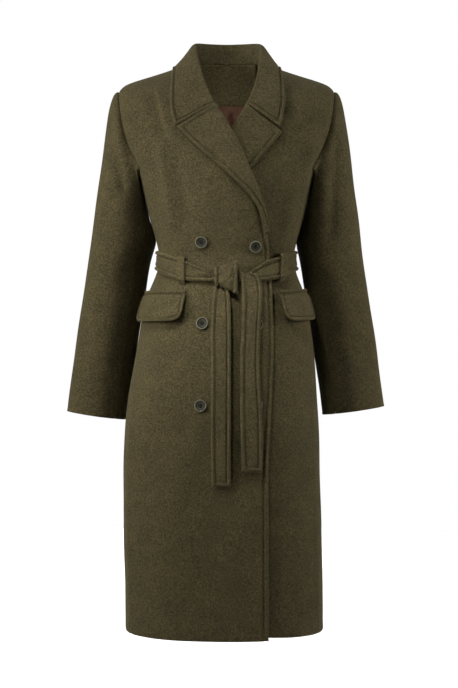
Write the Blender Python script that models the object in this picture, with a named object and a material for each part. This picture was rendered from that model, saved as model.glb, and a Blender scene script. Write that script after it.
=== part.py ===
"""Long double-breasted wool coat with a tie belt, in its worn shape.

Metres, +Z up, front towards -Y, wearer's right towards -X. The origin is level with the neck points.
"""
from math import asin, atan2, cos, degrees, pi, radians, sin, sqrt

import bmesh
import bpy
from mathutils import Vector

# Cloth
WALL = 0.0024          # coat cloth
LAPEL_WALL = 0.0030    # lapel, turned edge
COLLAR_WALL = 0.0032
LINING_WALL = 0.0010
FACING_WALL = 0.0014
BELT_WALL = 0.0040     # belt, two cloths and a stiffener
FLAP_WALL = 0.0032
SEAM = 0.0003          # gap between two pieces that are sewn together
REST = 0.0006          # gap between two pieces that lie on each other

# Body of the coat
SQUARENESS = 2.45      # 2 is an ellipse
SHOULDER_Y = 0.006     # shoulder seam, front to back
MIDDLE = -0.003        # middle of the shoulders
SHOULDER_TURN = 0.6    # below 1 the shoulder is rounded
HEM = -1.100
LEFT_HEM_LIFT = 0.009  # the left front hangs a little higher at its edge
UNDERLAP = 0.0112      # how far the left front lies inside the right one

# height, half width, front depth, back depth, sideways shift
BODY = [
    (-1.130, 0.1965, 0.150, 0.152, -0.0065),
    (-0.950, 0.1975, 0.148, 0.150, -0.0095),
    (-0.800, 0.1965, 0.145, 0.148, -0.0125),
    (-0.690, 0.1940, 0.142, 0.146, -0.0125),
    (-0.600, 0.1835, 0.137, 0.140, -0.0080),
    (-0.510, 0.1720, 0.128, 0.130, -0.0050),
    (-0.446, 0.1600, 0.118, 0.116, -0.0040),
    (-0.418, 0.1480, 0.109, 0.104, -0.0035),
    (-0.392, 0.1370, 0.104, 0.096, -0.0030),
    (-0.365, 0.1330, 0.103, 0.095, -0.0030),
    (-0.330, 0.1425, 0.112, 0.101, -0.0030),
    (-0.250, 0.1640, 0.127, 0.113, -0.0030),
    (-0.215, 0.1735, 0.130, 0.117, -0.0030),
    (-0.195, 0.1810, 0.130, 0.118, -0.0030),
    (-0.140, 0.2070, 0.126, 0.118, -0.0030),
    (-0.090, 0.2210, 0.120, 0.112, -0.0030),
    (-0.037, 0.2280, 0.112, 0.103, -0.0030),
    (0.060, 0.2300, 0.100, 0.098, -0.0030),
]

# distance from the middle, height of the shoulder line
SHOULDER = [
    (0.000, 0.050), (0.040, 0.038), (0.075, 0.0245), (0.112, 0.0105), (0.148, -0.0015),
    (0.188, -0.0140), (0.206, -0.0220), (0.214, -0.0310), (0.240, -0.0850),
]

# distance from the middle, depth over which the front and the back close to the shoulder line
FRONT_CLOSING = [(0.00, 0.240), (0.045, 0.230), (0.17, 0.085), (0.24, 0.080)]
BACK_CLOSING = [(0.00, 0.090), (0.24, 0.085)]

# Soft folds: turn in degrees from the front middle, top, bottom, spread in degrees, rise
FOLDS = [
    (-50, -0.02, -0.20, 9, -0.0060),
    (50, -0.02, -0.20, 9, -0.0050),
    (-58, -0.08, -0.34, 10, 0.0045),
    (58, -0.08, -0.34, 10, 0.0040),
    (-42, -0.44, -0.75, 10, 0.0035),
    (44, -0.44, -0.75, 10, 0.0035),
    (-68, -0.55, -1.30, 9, 0.0050),
    (70, -0.60, -1.30, 9, 0.0045),
    (-28, -0.85, -1.30, 11, -0.0030),
    (33, -0.80, -1.30, 11, 0.0040),
    (150, -0.43, -1.30, 11, 0.0045),
    (-150, -0.43, -1.30, 11, 0.0045),
    (180, -0.50, -1.30, 12, -0.0040),
    (130, -0.70, -1.30, 9, -0.0035),
    (-130, -0.70, -1.30, 9, -0.0035),
    (150, -0.16, -0.37, 10, 0.0035),
    (-150, -0.16, -0.37, 10, 0.0035),
]

# Seams of the panels, in degrees from the front middle
FRONT_SEAM = 66
BACK_SEAM = 114

# Armhole: turn in degrees from the front middle, height
TIP_HEIGHT = -0.031
ARMHOLE_FRONT = [(-0.195, 66.0), (-0.165, 68.2), (-0.140, 69.4), (-0.090, 70.0), (-0.031, 69.8)]
ARMHOLE_BACK = [(-0.195, 114.0), (-0.165, 112.0), (-0.140, 110.8), (-0.090, 109.8), (-0.031, 110.2)]
ARMHOLE_SEAM_HEIGHT = -0.195
UNDERARM_DROP = 0.020

# Front edge and roll line: height, distance past the middle
RIGHT_EDGE = [
    (-1.120, 0.0760), (-0.800, 0.0760), (-0.600, 0.0850), (-0.500, 0.0870), (-0.420, 0.0840),
    (-0.340, 0.0775), (-0.310, 0.0740), (-0.2735, 0.0640), (-0.240, 0.0515), (-0.211, 0.0405),
    (-0.175, 0.0245), (-0.131, 0.0040), (-0.100, -0.0150), (-0.078, -0.0270), (-0.030, -0.0500),
    (0.0245, -0.0750),
]
LEFT_EDGE = [
    (-1.120, 0.0700), (-0.800, 0.0700), (-0.600, 0.0760), (-0.420, 0.0760), (-0.310, 0.0720),
    (-0.2735, 0.0620), (-0.240, 0.0490), (-0.211, 0.0350), (-0.175, 0.0160), (-0.131, -0.0060),
    (-0.105, -0.0210), (-0.074, -0.0400), (-0.030, -0.0570), (0.0245, -0.0750),
]
NECK_POINT = 0.0245

LOWER_ROWS = [
    0, 0.075, 0.16, 0.245, 0.325, 0.400, 0.465, 0.520, 0.570, 0.615, 0.653, 0.687, 0.717, 0.745, 0.775,
    0.807, 0.840, 0.875, 0.910, 0.945, 0.975, 1,
]
UPPER_ROWS = [0.16, 0.34, 0.53, 0.71, 0.86, 0.95, 1]


def slopes(rows, column):
    """Slope at each row of a table, flat at turning points so that nothing overshoots."""
    steps = [(b[column] - a[column]) / (b[0] - a[0]) for a, b in zip(rows, rows[1:])]
    inner = [0 if a * b <= 0 else 2 * a * b / (a + b) for a, b in zip(steps, steps[1:])]
    return [steps[0], *inner, steps[-1]]


def along(table, at, column=1):
    """Value of a table between its rows, as a smooth curve."""
    rows = sorted(table)
    at = min(max(at, rows[0][0]), rows[-1][0])
    i = max(k for k in range(len(rows) - 1) if rows[k][0] <= at)
    a, b = rows[i], rows[i + 1]
    slope = slopes(rows, column)
    span = b[0] - a[0]
    t = (at - a[0]) / span
    return (
        (1 + 2 * t) * (1 - t) ** 2 * a[column] + t * (1 - t) ** 2 * span * slope[i]
        + t * t * (3 - 2 * t) * b[column] - t * t * (1 - t) * span * slope[i + 1]
    )


def mix(a, b, t):
    return a + (b - a) * t


def ease(t):
    t = min(max(t, 0.0), 1.0)
    return t * t * (3 - 2 * t)


def shoulder_height(x):
    return along(SHOULDER, abs(x - MIDDLE))


def fold_rise(turn, height):
    """Rise of the soft folds out of the plain surface."""
    rise = 0.0
    for middle, top, bottom, spread, height_of_fold in FOLDS:
        away = (degrees(turn) - middle + 180) % 360 - 180
        if abs(away) < 2 * spread:
            level = (top - height) / (top - bottom)
            if 0 < level < 1:
                rise += height_of_fold * cos(pi * away / (4 * spread)) ** 2 * sin(pi * level) ** 1.5
    return rise


def half_width(height):
    return along(BODY, height, 1)


def shift(height):
    return along(BODY, height, 4)


def turn_at(x, height):
    """Turn of the front surface at a place across."""
    return asin(max(-1.0, min(1.0, (x - shift(height)) / half_width(height))))


def closing(x, height, front):
    """0 on the shoulder line, 1 where the section is at its full depth."""
    reach = along(FRONT_CLOSING if front else BACK_CLOSING, abs(x - MIDDLE))
    drop = max(0.0, shoulder_height(x) - height)
    return sin(pi / 2 * min(1.0, drop / reach)) ** SHOULDER_TURN


def plain_point(turn, height):
    """Outer face of the coat: turn from the front middle towards +X, in radians."""
    x = shift(height) + half_width(height) * sin(turn)
    front = cos(turn) > 0
    depth = -along(BODY, height, 2) if front else along(BODY, height, 3)
    bulge = max(0.0, 1 - abs(sin(turn)) ** SQUARENESS) ** (1 / SQUARENESS)
    close = closing(x, height, front)
    parting = SEAM * (1 - close) * (-0.6 if front else 0.6)
    y = SHOULDER_Y * (1 - ease((-0.05 - height) / 0.3)) + parting + depth * bulge * close
    rise = fold_rise(turn, height)
    return Vector((x + rise * sin(turn), y - rise * cos(turn), height))


def body_normal(turn, height):
    """Direction out of the coat."""
    x = shift(height) + half_width(height) * sin(turn)
    if shoulder_height(x) - height < 0.0008:
        step = 0.002
        fall = (shoulder_height(x + step) - shoulder_height(x - step)) / (2 * step)
        return Vector((-fall, 0, 1)).normalized()
    step = 0.004
    across = plain_point(turn + step, height) - plain_point(turn - step, height)
    up = plain_point(turn, height + step * 0.1) - plain_point(turn, height - step * 0.1)
    return across.cross(up).normalized()


def body_point(turn, height, out=0.0):
    point = plain_point(turn, height)
    return point + body_normal(turn, height) * out if out else point


def material(name, colour, roughness):
    """One plain material of its own for a piece."""
    made = bpy.data.materials.new(name)
    made.use_nodes = True
    shader = made.node_tree.nodes["Principled BSDF"]
    shader.inputs["Base Color"].default_value = (*colour, 1)
    shader.inputs["Roughness"].default_value = roughness
    return made


WOOL = (0.075, 0.064, 0.033)
LINING = (0.125, 0.060, 0.042)
BUTTON = (0.075, 0.076, 0.055)


def add(name, bm, colour=WOOL, roughness=0.9):
    """Turns a bmesh into a named object."""
    bmesh.ops.recalc_face_normals(bm, faces=bm.faces)
    mesh = bpy.data.meshes.new(name)
    bm.to_mesh(mesh)
    bm.free()
    mesh.materials.append(material(name + "_material", colour, roughness))
    piece = bpy.data.objects.new(name, mesh)
    bpy.context.scene.collection.objects.link(piece)
    return piece


def wall(name, outer, inner, ring=False, colour=WOOL, roughness=0.9):
    """Closed cloth wall between two grids of points; a ring joins its last column to its first."""
    bm = bmesh.new()
    faces = [[[bm.verts.new(p) for p in row] for row in grid] for grid in (outer, inner)]
    rows, columns = len(outer), len(outer[0])
    spans = columns if ring else columns - 1
    for side, verts in enumerate(faces):
        for r in range(rows - 1):
            for c in range(spans):
                d = (c + 1) % columns
                quad = [verts[r][c], verts[r][d], verts[r + 1][d], verts[r + 1][c]]
                bm.faces.new(quad if side == 0 else quad[::-1])
    out, back = faces
    for c in range(spans):
        d = (c + 1) % columns
        bm.faces.new([out[0][d], out[0][c], back[0][c], back[0][d]])
        bm.faces.new([out[-1][c], out[-1][d], back[-1][d], back[-1][c]])
    if not ring:
        for r in range(rows - 1):
            bm.faces.new([out[r][0], out[r + 1][0], back[r + 1][0], back[r][0]])
            bm.faces.new([out[r + 1][-1], out[r][-1], back[r][-1], back[r + 1][-1]])
    return add(name, bm, colour, roughness)


def grid_normals(grid):
    """Normals of a grid of points from its own neighbours."""
    rows, columns = len(grid), len(grid[0])
    normals = []
    for r in range(rows):
        line = []
        for c in range(columns):
            across = grid[r][min(c + 1, columns - 1)] - grid[r][max(c - 1, 0)]
            along_rows = grid[min(r + 1, rows - 1)][c] - grid[max(r - 1, 0)][c]
            line.append(across.cross(along_rows).normalized())
        normals.append(line)
    return normals


def moved(grid, normals, distance):
    return [[p + n * distance for p, n in zip(*lines)] for lines in zip(grid, normals)]


def panel(name, places, sink=None):
    """Wall over a grid of turns and heights; sink lowers it into the coat."""
    outer, normals = [], []
    for row in places:
        normals.append([body_normal(*place) for place in row])
        points = [body_point(*place) for place in row]
        outer.append([p - n * sink(p) if sink else p for p, n in zip(points, normals[-1])])
    wall(name, outer, moved(outer, normals, -WALL))
    return outer, normals


def front_places(side, edge, columns, lift=0.0):
    """Turns and heights of a front, each row from its edge to its seam; side is -1 for the wearer's right."""
    def inner_turn(height):
        return turn_at(-side * along(edge, height), height)

    def row(low_inner, low_outer, end):
        start = inner_turn(low_inner)
        shares = [c / columns for c in range(columns + 1)]
        return [(mix(start, end, s), mix(low_inner, low_outer, s)) for s in shares]

    rows = []
    for share in LOWER_ROWS:
        height = mix(HEM, ARMHOLE_SEAM_HEIGHT, share)
        inner = mix(HEM + lift, ARMHOLE_SEAM_HEIGHT, share)
        rows.append(row(inner, height, side * (radians(FRONT_SEAM) - SEAM / 2 / half_width(height))))
    top = []
    tip_turn = side * radians(along(ARMHOLE_FRONT, TIP_HEIGHT))
    for turn, height in row(NECK_POINT, TIP_HEIGHT, tip_turn):
        for _ in range(6):
            height = shoulder_height(shift(height) + half_width(height) * sin(turn))
        top.append(height)
    for share in UPPER_ROWS:
        inner = mix(ARMHOLE_SEAM_HEIGHT, NECK_POINT, share)
        outer = mix(ARMHOLE_SEAM_HEIGHT, TIP_HEIGHT, share)
        turns = row(inner, outer, side * radians(along(ARMHOLE_FRONT, outer)))
        rows.append([(turn, mix(ARMHOLE_SEAM_HEIGHT, high, share)) for (turn, _), high in zip(turns, top)])
    return rows


def side_places(side, columns):
    """Turns and heights of a side panel, from the front seam to the back seam."""
    rows = []
    for share in LOWER_ROWS:
        line = []
        for c in range(columns + 1):
            top = ARMHOLE_SEAM_HEIGHT - UNDERARM_DROP * sin(pi * c / columns)
            height = mix(HEM, top, share)
            parting = SEAM / 2 / half_width(height) * (1 - 2 * c / columns)
            line.append((side * (radians(mix(FRONT_SEAM, BACK_SEAM, c / columns)) + parting), height))
        rows.append(line)
    return rows


BACK_NECK = 0.031      # back neck seam at the middle
NECK_HALF = 0.075      # neck points from the middle
# Places of the back's columns along the shoulders and the neck, from the middle
BACK_COLUMNS = [0.214, 0.187, 0.160, 0.132, 0.1035, 0.075, 0.060, 0.041, 0.021]


def back_top(x):
    """Height of the back's top edge: the shoulder line, then the neck seam."""
    across = abs(x - MIDDLE) / NECK_HALF
    if across >= 1:
        return shoulder_height(x)
    return mix(BACK_NECK, NECK_POINT, across ** 2)


def back_places():
    """Turns and heights of the back, from the wearer's left to the right."""
    places = [*BACK_COLUMNS, 0, *[-x for x in reversed(BACK_COLUMNS)]]
    last = len(places) - 1
    top = []
    for across in places:
        height = back_top(MIDDLE + across)
        turn = pi - asin((MIDDLE + across - shift(height)) / half_width(height))
        top.append((turn, height))
    first_turn, last_turn = top[0][0], top[-1][0]
    shares = [(turn - first_turn) / (last_turn - first_turn) for turn, _ in top]
    rows = []
    for share in LOWER_ROWS:
        height = mix(HEM, ARMHOLE_SEAM_HEIGHT, share)
        start = radians(BACK_SEAM) + SEAM / 2 / half_width(height)
        rows.append([(mix(start, 2 * pi - start, c / last), height) for c in range(last + 1)])
    for share in UPPER_ROWS:
        edge = mix(ARMHOLE_SEAM_HEIGHT, TIP_HEIGHT, share)
        start = radians(along(ARMHOLE_BACK, edge))
        line = []
        for c in range(last + 1):
            turn = mix(start, 2 * pi - start, mix(c / last, shares[c], share))
            line.append((turn, mix(ARMHOLE_SEAM_HEIGHT, top[c][1], share)))
        rows.append(line)
    return rows


def left_sink(point):
    """The left front goes in under the right one and comes out again before its side seam."""
    seam = plain_point(radians(FRONT_SEAM), point.z).x
    beside = ease((point.x - 0.085) / min(0.060, seam - 0.087))
    above = ease((point.z + 0.100) / 0.070)
    return UNDERLAP * (1 - beside) * (1 - above)


# Sleeve rings: height, distance of the middle, half width, half depth, middle front to back
SLEEVE = [
    (-0.250, 0.2000, 0.0630, 0.0680, 0.008),
    (-0.300, 0.2070, 0.0640, 0.0650, 0.018),
    (-0.345, 0.2100, 0.0660, 0.0620, 0.023),
    (-0.390, 0.2200, 0.0620, 0.0590, 0.025),
    (-0.446, 0.2275, 0.0625, 0.0560, 0.028),
    (-0.550, 0.2440, 0.0625, 0.0510, 0.033),
    (-0.685, 0.2625, 0.0620, 0.0460, 0.036),
]
SLEEVE_TOP = -0.250
LEFT_SLEEVE_IN = 0.0050  # the left sleeve hangs nearer the body
CAP_ROWS = [0, 0.07, 0.18, 0.34, 0.54, 0.77]
SLEEVE_ROWS = [0, 0.10, 0.20, 0.31, 0.42, 0.53, 0.65, 0.77, 0.89, 1]
SLEEVE_TILT = radians(8.5)
CUFF = {-1: -0.682, 1: -0.672}
SEAM_ANGLE = 128       # sleeve seams, in degrees round the ring from its outer side

# Sleeve folds: angle round the ring, height, spread in degrees, spread in height, rise
SLEEVE_FOLDS = [
    (75, -0.17, 22, 0.090, 0.0060),
    (30, -0.20, 20, 0.110, -0.0035),
    (100, -0.42, 30, 0.035, -0.0040),
    (95, -0.36, 30, 0.030, 0.0035),
    (60, -0.52, 40, 0.060, 0.0025),
    (280, -0.40, 34, 0.040, -0.0040),
    (285, -0.34, 34, 0.035, 0.0035),
    (250, -0.18, 24, 0.080, 0.0045),
]


def outside_body(point, side, clear):
    """Moves a point of a sleeve sideways until it is clear of the coat's body."""
    if point.z > -0.188:
        return point
    depth = along(BODY, point.z, 2 if point.y < 0 else 3)
    reach = max(0.0, 1 - (min(1.0, abs(point.y) / depth)) ** SQUARENESS) ** (1 / SQUARENESS)
    edge = shift(point.z) * side + half_width(point.z) * reach + clear
    x = max(point.x * side, edge)
    return Vector((x * side, point.y, point.z))


def sleeve_ring(side, height, angle):
    """Point of the tube below the cap."""
    middle, width, depth, back = (along(SLEEVE, height, k) for k in (1, 2, 3, 4))
    if side > 0:
        drawn = LEFT_SLEEVE_IN * ease((-0.27 - height) / 0.10)
        middle, width = middle - drawn * 0.75, width + drawn * 0.25
    x = middle + width * cos(angle) * cos(SLEEVE_TILT)
    z = height + width * cos(angle) * sin(SLEEVE_TILT)
    return Vector((MIDDLE + side * x, back - depth * sin(angle), z))


def sleeve_leave(side, angle):
    """How a sleeve leaves the armhole: out to the side, and up at the shoulder."""
    up = 0.080 * max(cos(angle), 0.0)
    forward = 0.006 if sin(angle) > 0 else 0.016
    return Vector((side * (0.040 + 0.020 * cos(angle)), -forward * sin(angle), up))


def sleeve_path(side, start, leave, angle):
    """Points of the cap and the tube down to the cuff at one angle."""
    end = sleeve_ring(side, SLEEVE_TOP, angle)
    arrive = Vector((side * sin(SLEEVE_TILT), 0, -cos(SLEEVE_TILT))) * (0.15 + 0.10 * cos(angle))
    path = []
    for t in CAP_ROWS:
        path.append(
            start * ((1 + 2 * t) * (1 - t) ** 2) + leave * (t * (1 - t) ** 2)
            + end * (t * t * (3 - 2 * t)) - arrive * (t * t * (1 - t))
        )
    for t in SLEEVE_ROWS:
        path.append(sleeve_ring(side, mix(SLEEVE_TOP, CUFF[side], t), angle))
    middle = Vector((MIDDLE + side * 0.21, 0.02, 0))
    for k, point in enumerate(path):
        rise = 0.0
        for turn, height, spread, tall, lift in SLEEVE_FOLDS:
            away = (degrees(angle) - turn + 180) % 360 - 180
            rise += lift * 2 ** -((away / spread) ** 2 + ((point.z - height) / tall) ** 2)
        out = Vector((point.x - middle.x, point.y - middle.y, 0)).normalized()
        path[k] = outside_body(point + out * rise * min(1, k / 3), side, min(0.0035, 0.0012 + 0.0008 * k))
    return path


def edge_frames(points, inside, normals):
    """Point, normal and direction away from the cloth at each place of a panel's edge."""
    frames = []
    for k, (point, within, normal) in enumerate(zip(points, inside, normals)):
        edge = points[min(k + 1, len(points) - 1)] - points[max(k - 1, 0)]
        away = edge.cross(normal).normalized()
        frames.append((point, normal, away if away.dot(point - within) > 0 else -away))
    return frames


def halfway(one, other):
    """Frame between two frames."""
    return (one[0] + other[0]) / 2, (one[1] + other[1]).normalized(), (one[2] + other[2]).normalized()


def sleeve_start(frame, leave):
    """First two points of a sleeve, past the rim of the armhole's edge, and its own normal there."""
    point, normal, away = frame
    lean = atan2(leave.dot(normal), leave.dot(away))
    out = away * cos(lean) + normal * sin(lean)
    start = point + away * SEAM * 1.3 - normal * WALL * sin(lean)
    return start, start + out * (WALL * sin(lean) + 0.0018), normal * cos(lean) - away * sin(lean)


def strip(grid, columns):
    """Columns of a sleeve's ring as one piece, drawn in at both seams, more at the underarm's sharp bend."""
    piece = []
    for r, row in enumerate(grid):
        line = [row[c % len(row)].copy() for c in columns]
        drawn = SEAM * (2 if 1 <= r <= 6 else 0.5)
        for end, beside in ((0, 1), (-1, -2)):
            line[end] += (line[beside] - line[end]).normalized() * drawn
        piece.append(line)
    return piece


def around(grid, r, c):
    """Sum of a grid's four neighbours, in a ring of columns."""
    return grid[r][c - 1] + grid[r][(c + 1) % len(grid[r])] + grid[r - 1][c] + grid[r + 1][c]


def relaxed(rows, side):
    """Sleeve grid with its cap evened out, the armhole rows left as they are."""
    columns, last = len(rows[0]), len(CAP_ROWS) + 4
    for _ in range(3):
        before = [list(row) for row in rows]
        for r in range(2, last):
            share = min(0.5, 0.1 * (r - 1), 0.12 * (last - r))
            for c in range(columns):
                evened = mix(before[r][c], around(before, r, c) / 4, share)
                rows[r][c] = outside_body(evened, side, 0.0022)
    return rows


def sleeve(word, side, frames, angles, split):
    """Upper and under sleeve from the armhole's frames; split is the column of the front seam."""
    paths, first_normals = [], []
    for frame, angle in zip(frames, angles):
        leave = sleeve_leave(side, radians(angle))
        leave += frame[2] * max(0.0, 0.003 - leave.dot(frame[2]))
        start, past, normal = sleeve_start(frame, leave)
        first_normals.append(normal)
        paths.append([start, *sleeve_path(side, past, leave, radians(angle))])
    outer = relaxed([list(row) for row in zip(*paths)], side)
    round_once = [[row[-1], *row, row[0]] for row in outer]
    own = [[n * side for n in line[1:-1]] for line in grid_normals(round_once)]
    own[0] = first_normals
    columns = len(frames)
    for _ in range(4):
        before = [list(line) for line in own]
        for r in range(1, len(own) - 1):
            for c in range(columns):
                own[r][c] = (before[r][c] * 2 + around(before, r, c)).normalized()
    inner = moved(outer, own, -WALL)
    for name, part in (("upper", range(split + 1)), ("under", range(split, columns + 1))):
        wall(f"{word}_{name}_sleeve", strip(outer, part), strip(inner, part))
    return outer, own


for piece in list(bpy.data.objects):
    bpy.data.objects.remove(piece)

# Panels of the body
SIDES = {"right": -1, "left": 1}
fronts = {
    "right": panel("right_front", front_places(-1, RIGHT_EDGE, 10)),
    "left": panel("left_front", front_places(1, LEFT_EDGE, 10, LEFT_HEM_LIFT), left_sink),
}
sides = {word: panel(word + "_side_panel", side_places(side, 5)) for word, side in SIDES.items()}
back = panel("back", back_places())

# Sleeves, each an upper and an under piece
seam_row = len(LOWER_ROWS) - 1
for word, side in SIDES.items():
    first, second = (-1, -2) if side < 0 else (0, 1)
    frames = {}
    armholes = (("back", back, first, second), ("front", fronts[word], -1, -2))
    for name, (grid, normals), edge, within in armholes:
        lines = range(seam_row, len(grid))
        rim, inside = [grid[r][edge] for r in lines], [grid[r][within] for r in lines]
        frames[name] = edge_frames(rim, inside, [normals[r][edge] for r in lines])
    frames["under"] = edge_frames(sides[word][0][-1], sides[word][0][-2], sides[word][1][-1])
    seam_back = halfway(frames["back"][0], frames["under"][-1])
    seam_front = halfway(frames["front"][0], frames["under"][0])
    tip = halfway(frames["back"][-1], frames["front"][-1])
    ring = [seam_back, *frames["back"][1:-1], tip, *frames["front"][-2:0:-1], seam_front]
    count = len(frames["back"]) - 1
    angles = [360 - SEAM_ANGLE + SEAM_ANGLE * k / count for k in range(2 * count + 1)]
    under = frames["under"][1:-1]
    angles += [mix(SEAM_ANGLE, 360 - SEAM_ANGLE, (k + 1) / (len(under) + 1)) for k in range(len(under))]
    sleeve(word, side, [*ring, *under], angles, 2 * count)


# Lapels: height of the roll line, outer edge across (past the middle) and up
RIGHT_LAPEL = [
    (-0.0788, -0.0985, -0.1225), (-0.100, -0.0700, -0.1510), (-0.131, -0.0420, -0.1770),
    (-0.175, 0.0010, -0.2135), (-0.211, 0.0250, -0.2370), (-0.240, 0.0395, -0.2510),
    (-0.2735, 0.0565, -0.2767), (-0.300, 0.0662, -0.3010), (-0.324, 0.0713, -0.3245),
]
LEFT_LAPEL = [
    (-0.0748, -0.1050, -0.1310), (-0.105, -0.0720, -0.1700), (-0.131, -0.0440, -0.2030),
    (-0.175, -0.0120, -0.2330), (-0.211, 0.0120, -0.2480), (-0.240, 0.0320, -0.2590),
    (-0.2735, 0.0500, -0.2790), (-0.300, 0.0610, -0.3020),
]
# Lip over the front's edge: distance past the edge, height over the front
LIP = [(0.0035, -0.0021), (0.0034, 0.0012), (0.0020, 0.0033), (-0.0030, 0.0040)]
LAPEL_ROWS = [0.22, 0.46, 0.73, 1]


def on_front(x, height, out, sink=None):
    """Point over a front, at a place across and up."""
    turn = turn_at(x, height)
    point = body_point(turn, height)
    lowered = sink(point) if sink else 0.0
    return point + body_normal(turn, height) * (out - lowered)


def lapel(name, side, edge, table, sink=None):
    """Turned-out lapel: a lip round the front's edge, then a sheet that lies on the front."""
    outer = []
    lie = LAPEL_WALL + REST
    for height, edge_across, edge_height in table:
        across = -side * along(edge, height)
        outward = -side * edge_across
        rim = on_front(across, height, 0, sink)
        inside = on_front(mix(across, outward, 0.02), mix(height, edge_height, 0.02), 0, sink)
        past = (rim - inside).normalized()
        normal = body_normal(turn_at(across, height), height)
        least = -0.15 * abs(across - outward)
        line = [rim + past * max(reach, least) + normal * rise for reach, rise in LIP]
        for u in LAPEL_ROWS:
            line.append(on_front(mix(across, outward, u), mix(height, edge_height, u), lie, sink))
        outer.append(line)
    normals = [[n * side for n in line] for line in grid_normals(outer)]
    wall(name, outer, moved(outer, normals, -LAPEL_WALL))
    return outer


lapel("right_lapel", -1, RIGHT_EDGE, RIGHT_LAPEL)
lapel("left_lapel", 1, LEFT_EDGE, LEFT_LAPEL, left_sink)

# Buttons: across, up
BUTTONS = {
    "button_top_right": (-0.051, -0.3416), "button_top_left": (0.052, -0.350),
    "button_middle_right": (-0.049, -0.4986), "button_middle_left": (0.055, -0.501),
    "button_bottom_right": (-0.052, -0.655), "button_bottom_left": (0.054, -0.653),
}
BUTTON_SIDES = 18
BUTTON_GAP = 0.0004    # over the facets of the right front
# Button from its underside to the middle of its face: radius, height
BUTTON_PROFILE = [
    (0.0105, 0.0000), (0.0120, 0.0014), (0.0120, 0.0028), (0.0112, 0.0038), (0.0096, 0.0040),
    (0.0084, 0.0031),
]


def room_below(verts, normal, carrier):
    """Least distance from the vertices down to the carrier's facets."""
    hits = [carrier.ray_cast(v.co, -normal, distance=0.02) for v in verts]
    return min((hit[1] - v.co).length for hit, v in zip(hits, verts) if hit[0])


def button(name, x, height):
    """Dished button on the right front, square to the cloth."""
    bm = bmesh.new()
    rings = []
    for radius, rise in BUTTON_PROFILE:
        turns = [2 * pi * k / BUTTON_SIDES for k in range(BUTTON_SIDES)]
        rings.append([bm.verts.new((radius * cos(t), radius * sin(t), rise)) for t in turns])
    for low, high in zip(rings, rings[1:]):
        for k in range(BUTTON_SIDES):
            n = (k + 1) % BUTTON_SIDES
            bm.faces.new([low[k], low[n], high[n], high[k]])
    bm.faces.new(rings[0][::-1])
    bm.faces.new(rings[-1])
    turn = turn_at(x, height)
    normal = body_normal(turn, height)
    middle = body_point(turn, height)
    around = [on_front(x + v.co.x, height + v.co.y, 0) - middle for v in rings[1]]
    lift = max(0.0, *[p.dot(normal) for p in around]) + 2.5 * REST
    place = normal.to_track_quat("Z", "Y").to_matrix().to_4x4()
    place.translation = middle + normal * lift
    bmesh.ops.transform(bm, matrix=place, verts=bm.verts)
    drop = room_below(rings[0] + rings[1], normal, bpy.data.objects["right_front"]) - BUTTON_GAP
    bmesh.ops.translate(bm, vec=-normal * drop, verts=bm.verts)
    return add(name, bm, BUTTON, 0.45)


for name, (x, height) in BUTTONS.items():
    button(name, x, height)

# Collar: place from the gorge (0) over the neck point (0.5) to the back middle (1), then the top of the roll
# and the outer edge, each across, front to back and up
RIGHT_COLLAR = [
    (0.00, 0.0255, -0.0955, -0.0755, 0.1020, -0.1120, -0.1200),
    (0.25, 0.0450, -0.0720, -0.0240, 0.1120, -0.0920, -0.0720),
    (0.50, 0.0625, 0.0050, 0.0635, 0.1110, -0.0050, 0.0130),
    (0.75, 0.0440, 0.0500, 0.0765, 0.0850, 0.0700, 0.0030),
    (1.00, 0.0000, 0.0660, 0.0785, 0.0000, 0.1000, 0.0030),
]
LEFT_COLLAR = [
    (0.00, 0.0385, -0.0905, -0.0715, 0.0990, -0.1080, -0.1215),
    (0.25, 0.0540, -0.0660, -0.0220, 0.1120, -0.0920, -0.0760),
    (0.50, 0.0625, 0.0050, 0.0625, 0.1060, -0.0050, 0.0130),
    *RIGHT_COLLAR[3:],
]
RIGHT_GORGE = -0.0762
LEFT_GORGE = -0.0720
COLLAR_HALF = 13       # columns from the gorge to the back middle
COLLAR_ROLL = 0.0055
COLLAR_GAP = 0.0024    # between the neck edge's facets and the collar
COLLAR_FALL = [0.22, 0.48, 0.75, 1]


def lifted(point, gap):
    """Point moved out of the coat until it is clear of the cloth below."""
    for _ in range(3):
        turn = turn_at(point.x, point.z)
        if point.y > SHOULDER_Y:
            turn = pi - turn
        normal = body_normal(turn, min(point.z, shoulder_height(point.x)))
        drop = shoulder_height(point.x) - point.z
        away = -drop * normal.z if drop < 0.0005 else (point - body_point(turn, point.z)).dot(normal)
        if away >= gap:
            return point
        point = point + normal * (gap - away)
    return point


def neck_seam(side, place):
    """Point and normal of the neck seam, from the gorge to the back middle."""
    edge, gorge, sink = (RIGHT_EDGE, RIGHT_GORGE, None) if side < 0 else (LEFT_EDGE, LEFT_GORGE, left_sink)
    if place <= 0.5:
        height = mix(gorge, NECK_POINT, place / 0.5)
        across = -side * along(edge, height)
        return on_front(across, height, 0, sink), body_normal(turn_at(across, height), height)
    x = MIDDLE + side * NECK_HALF * (1 - (place - 0.5) / 0.5)
    height = back_top(x)
    turn = pi - turn_at(x, height)
    return body_point(turn, height), body_normal(turn, height)


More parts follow.
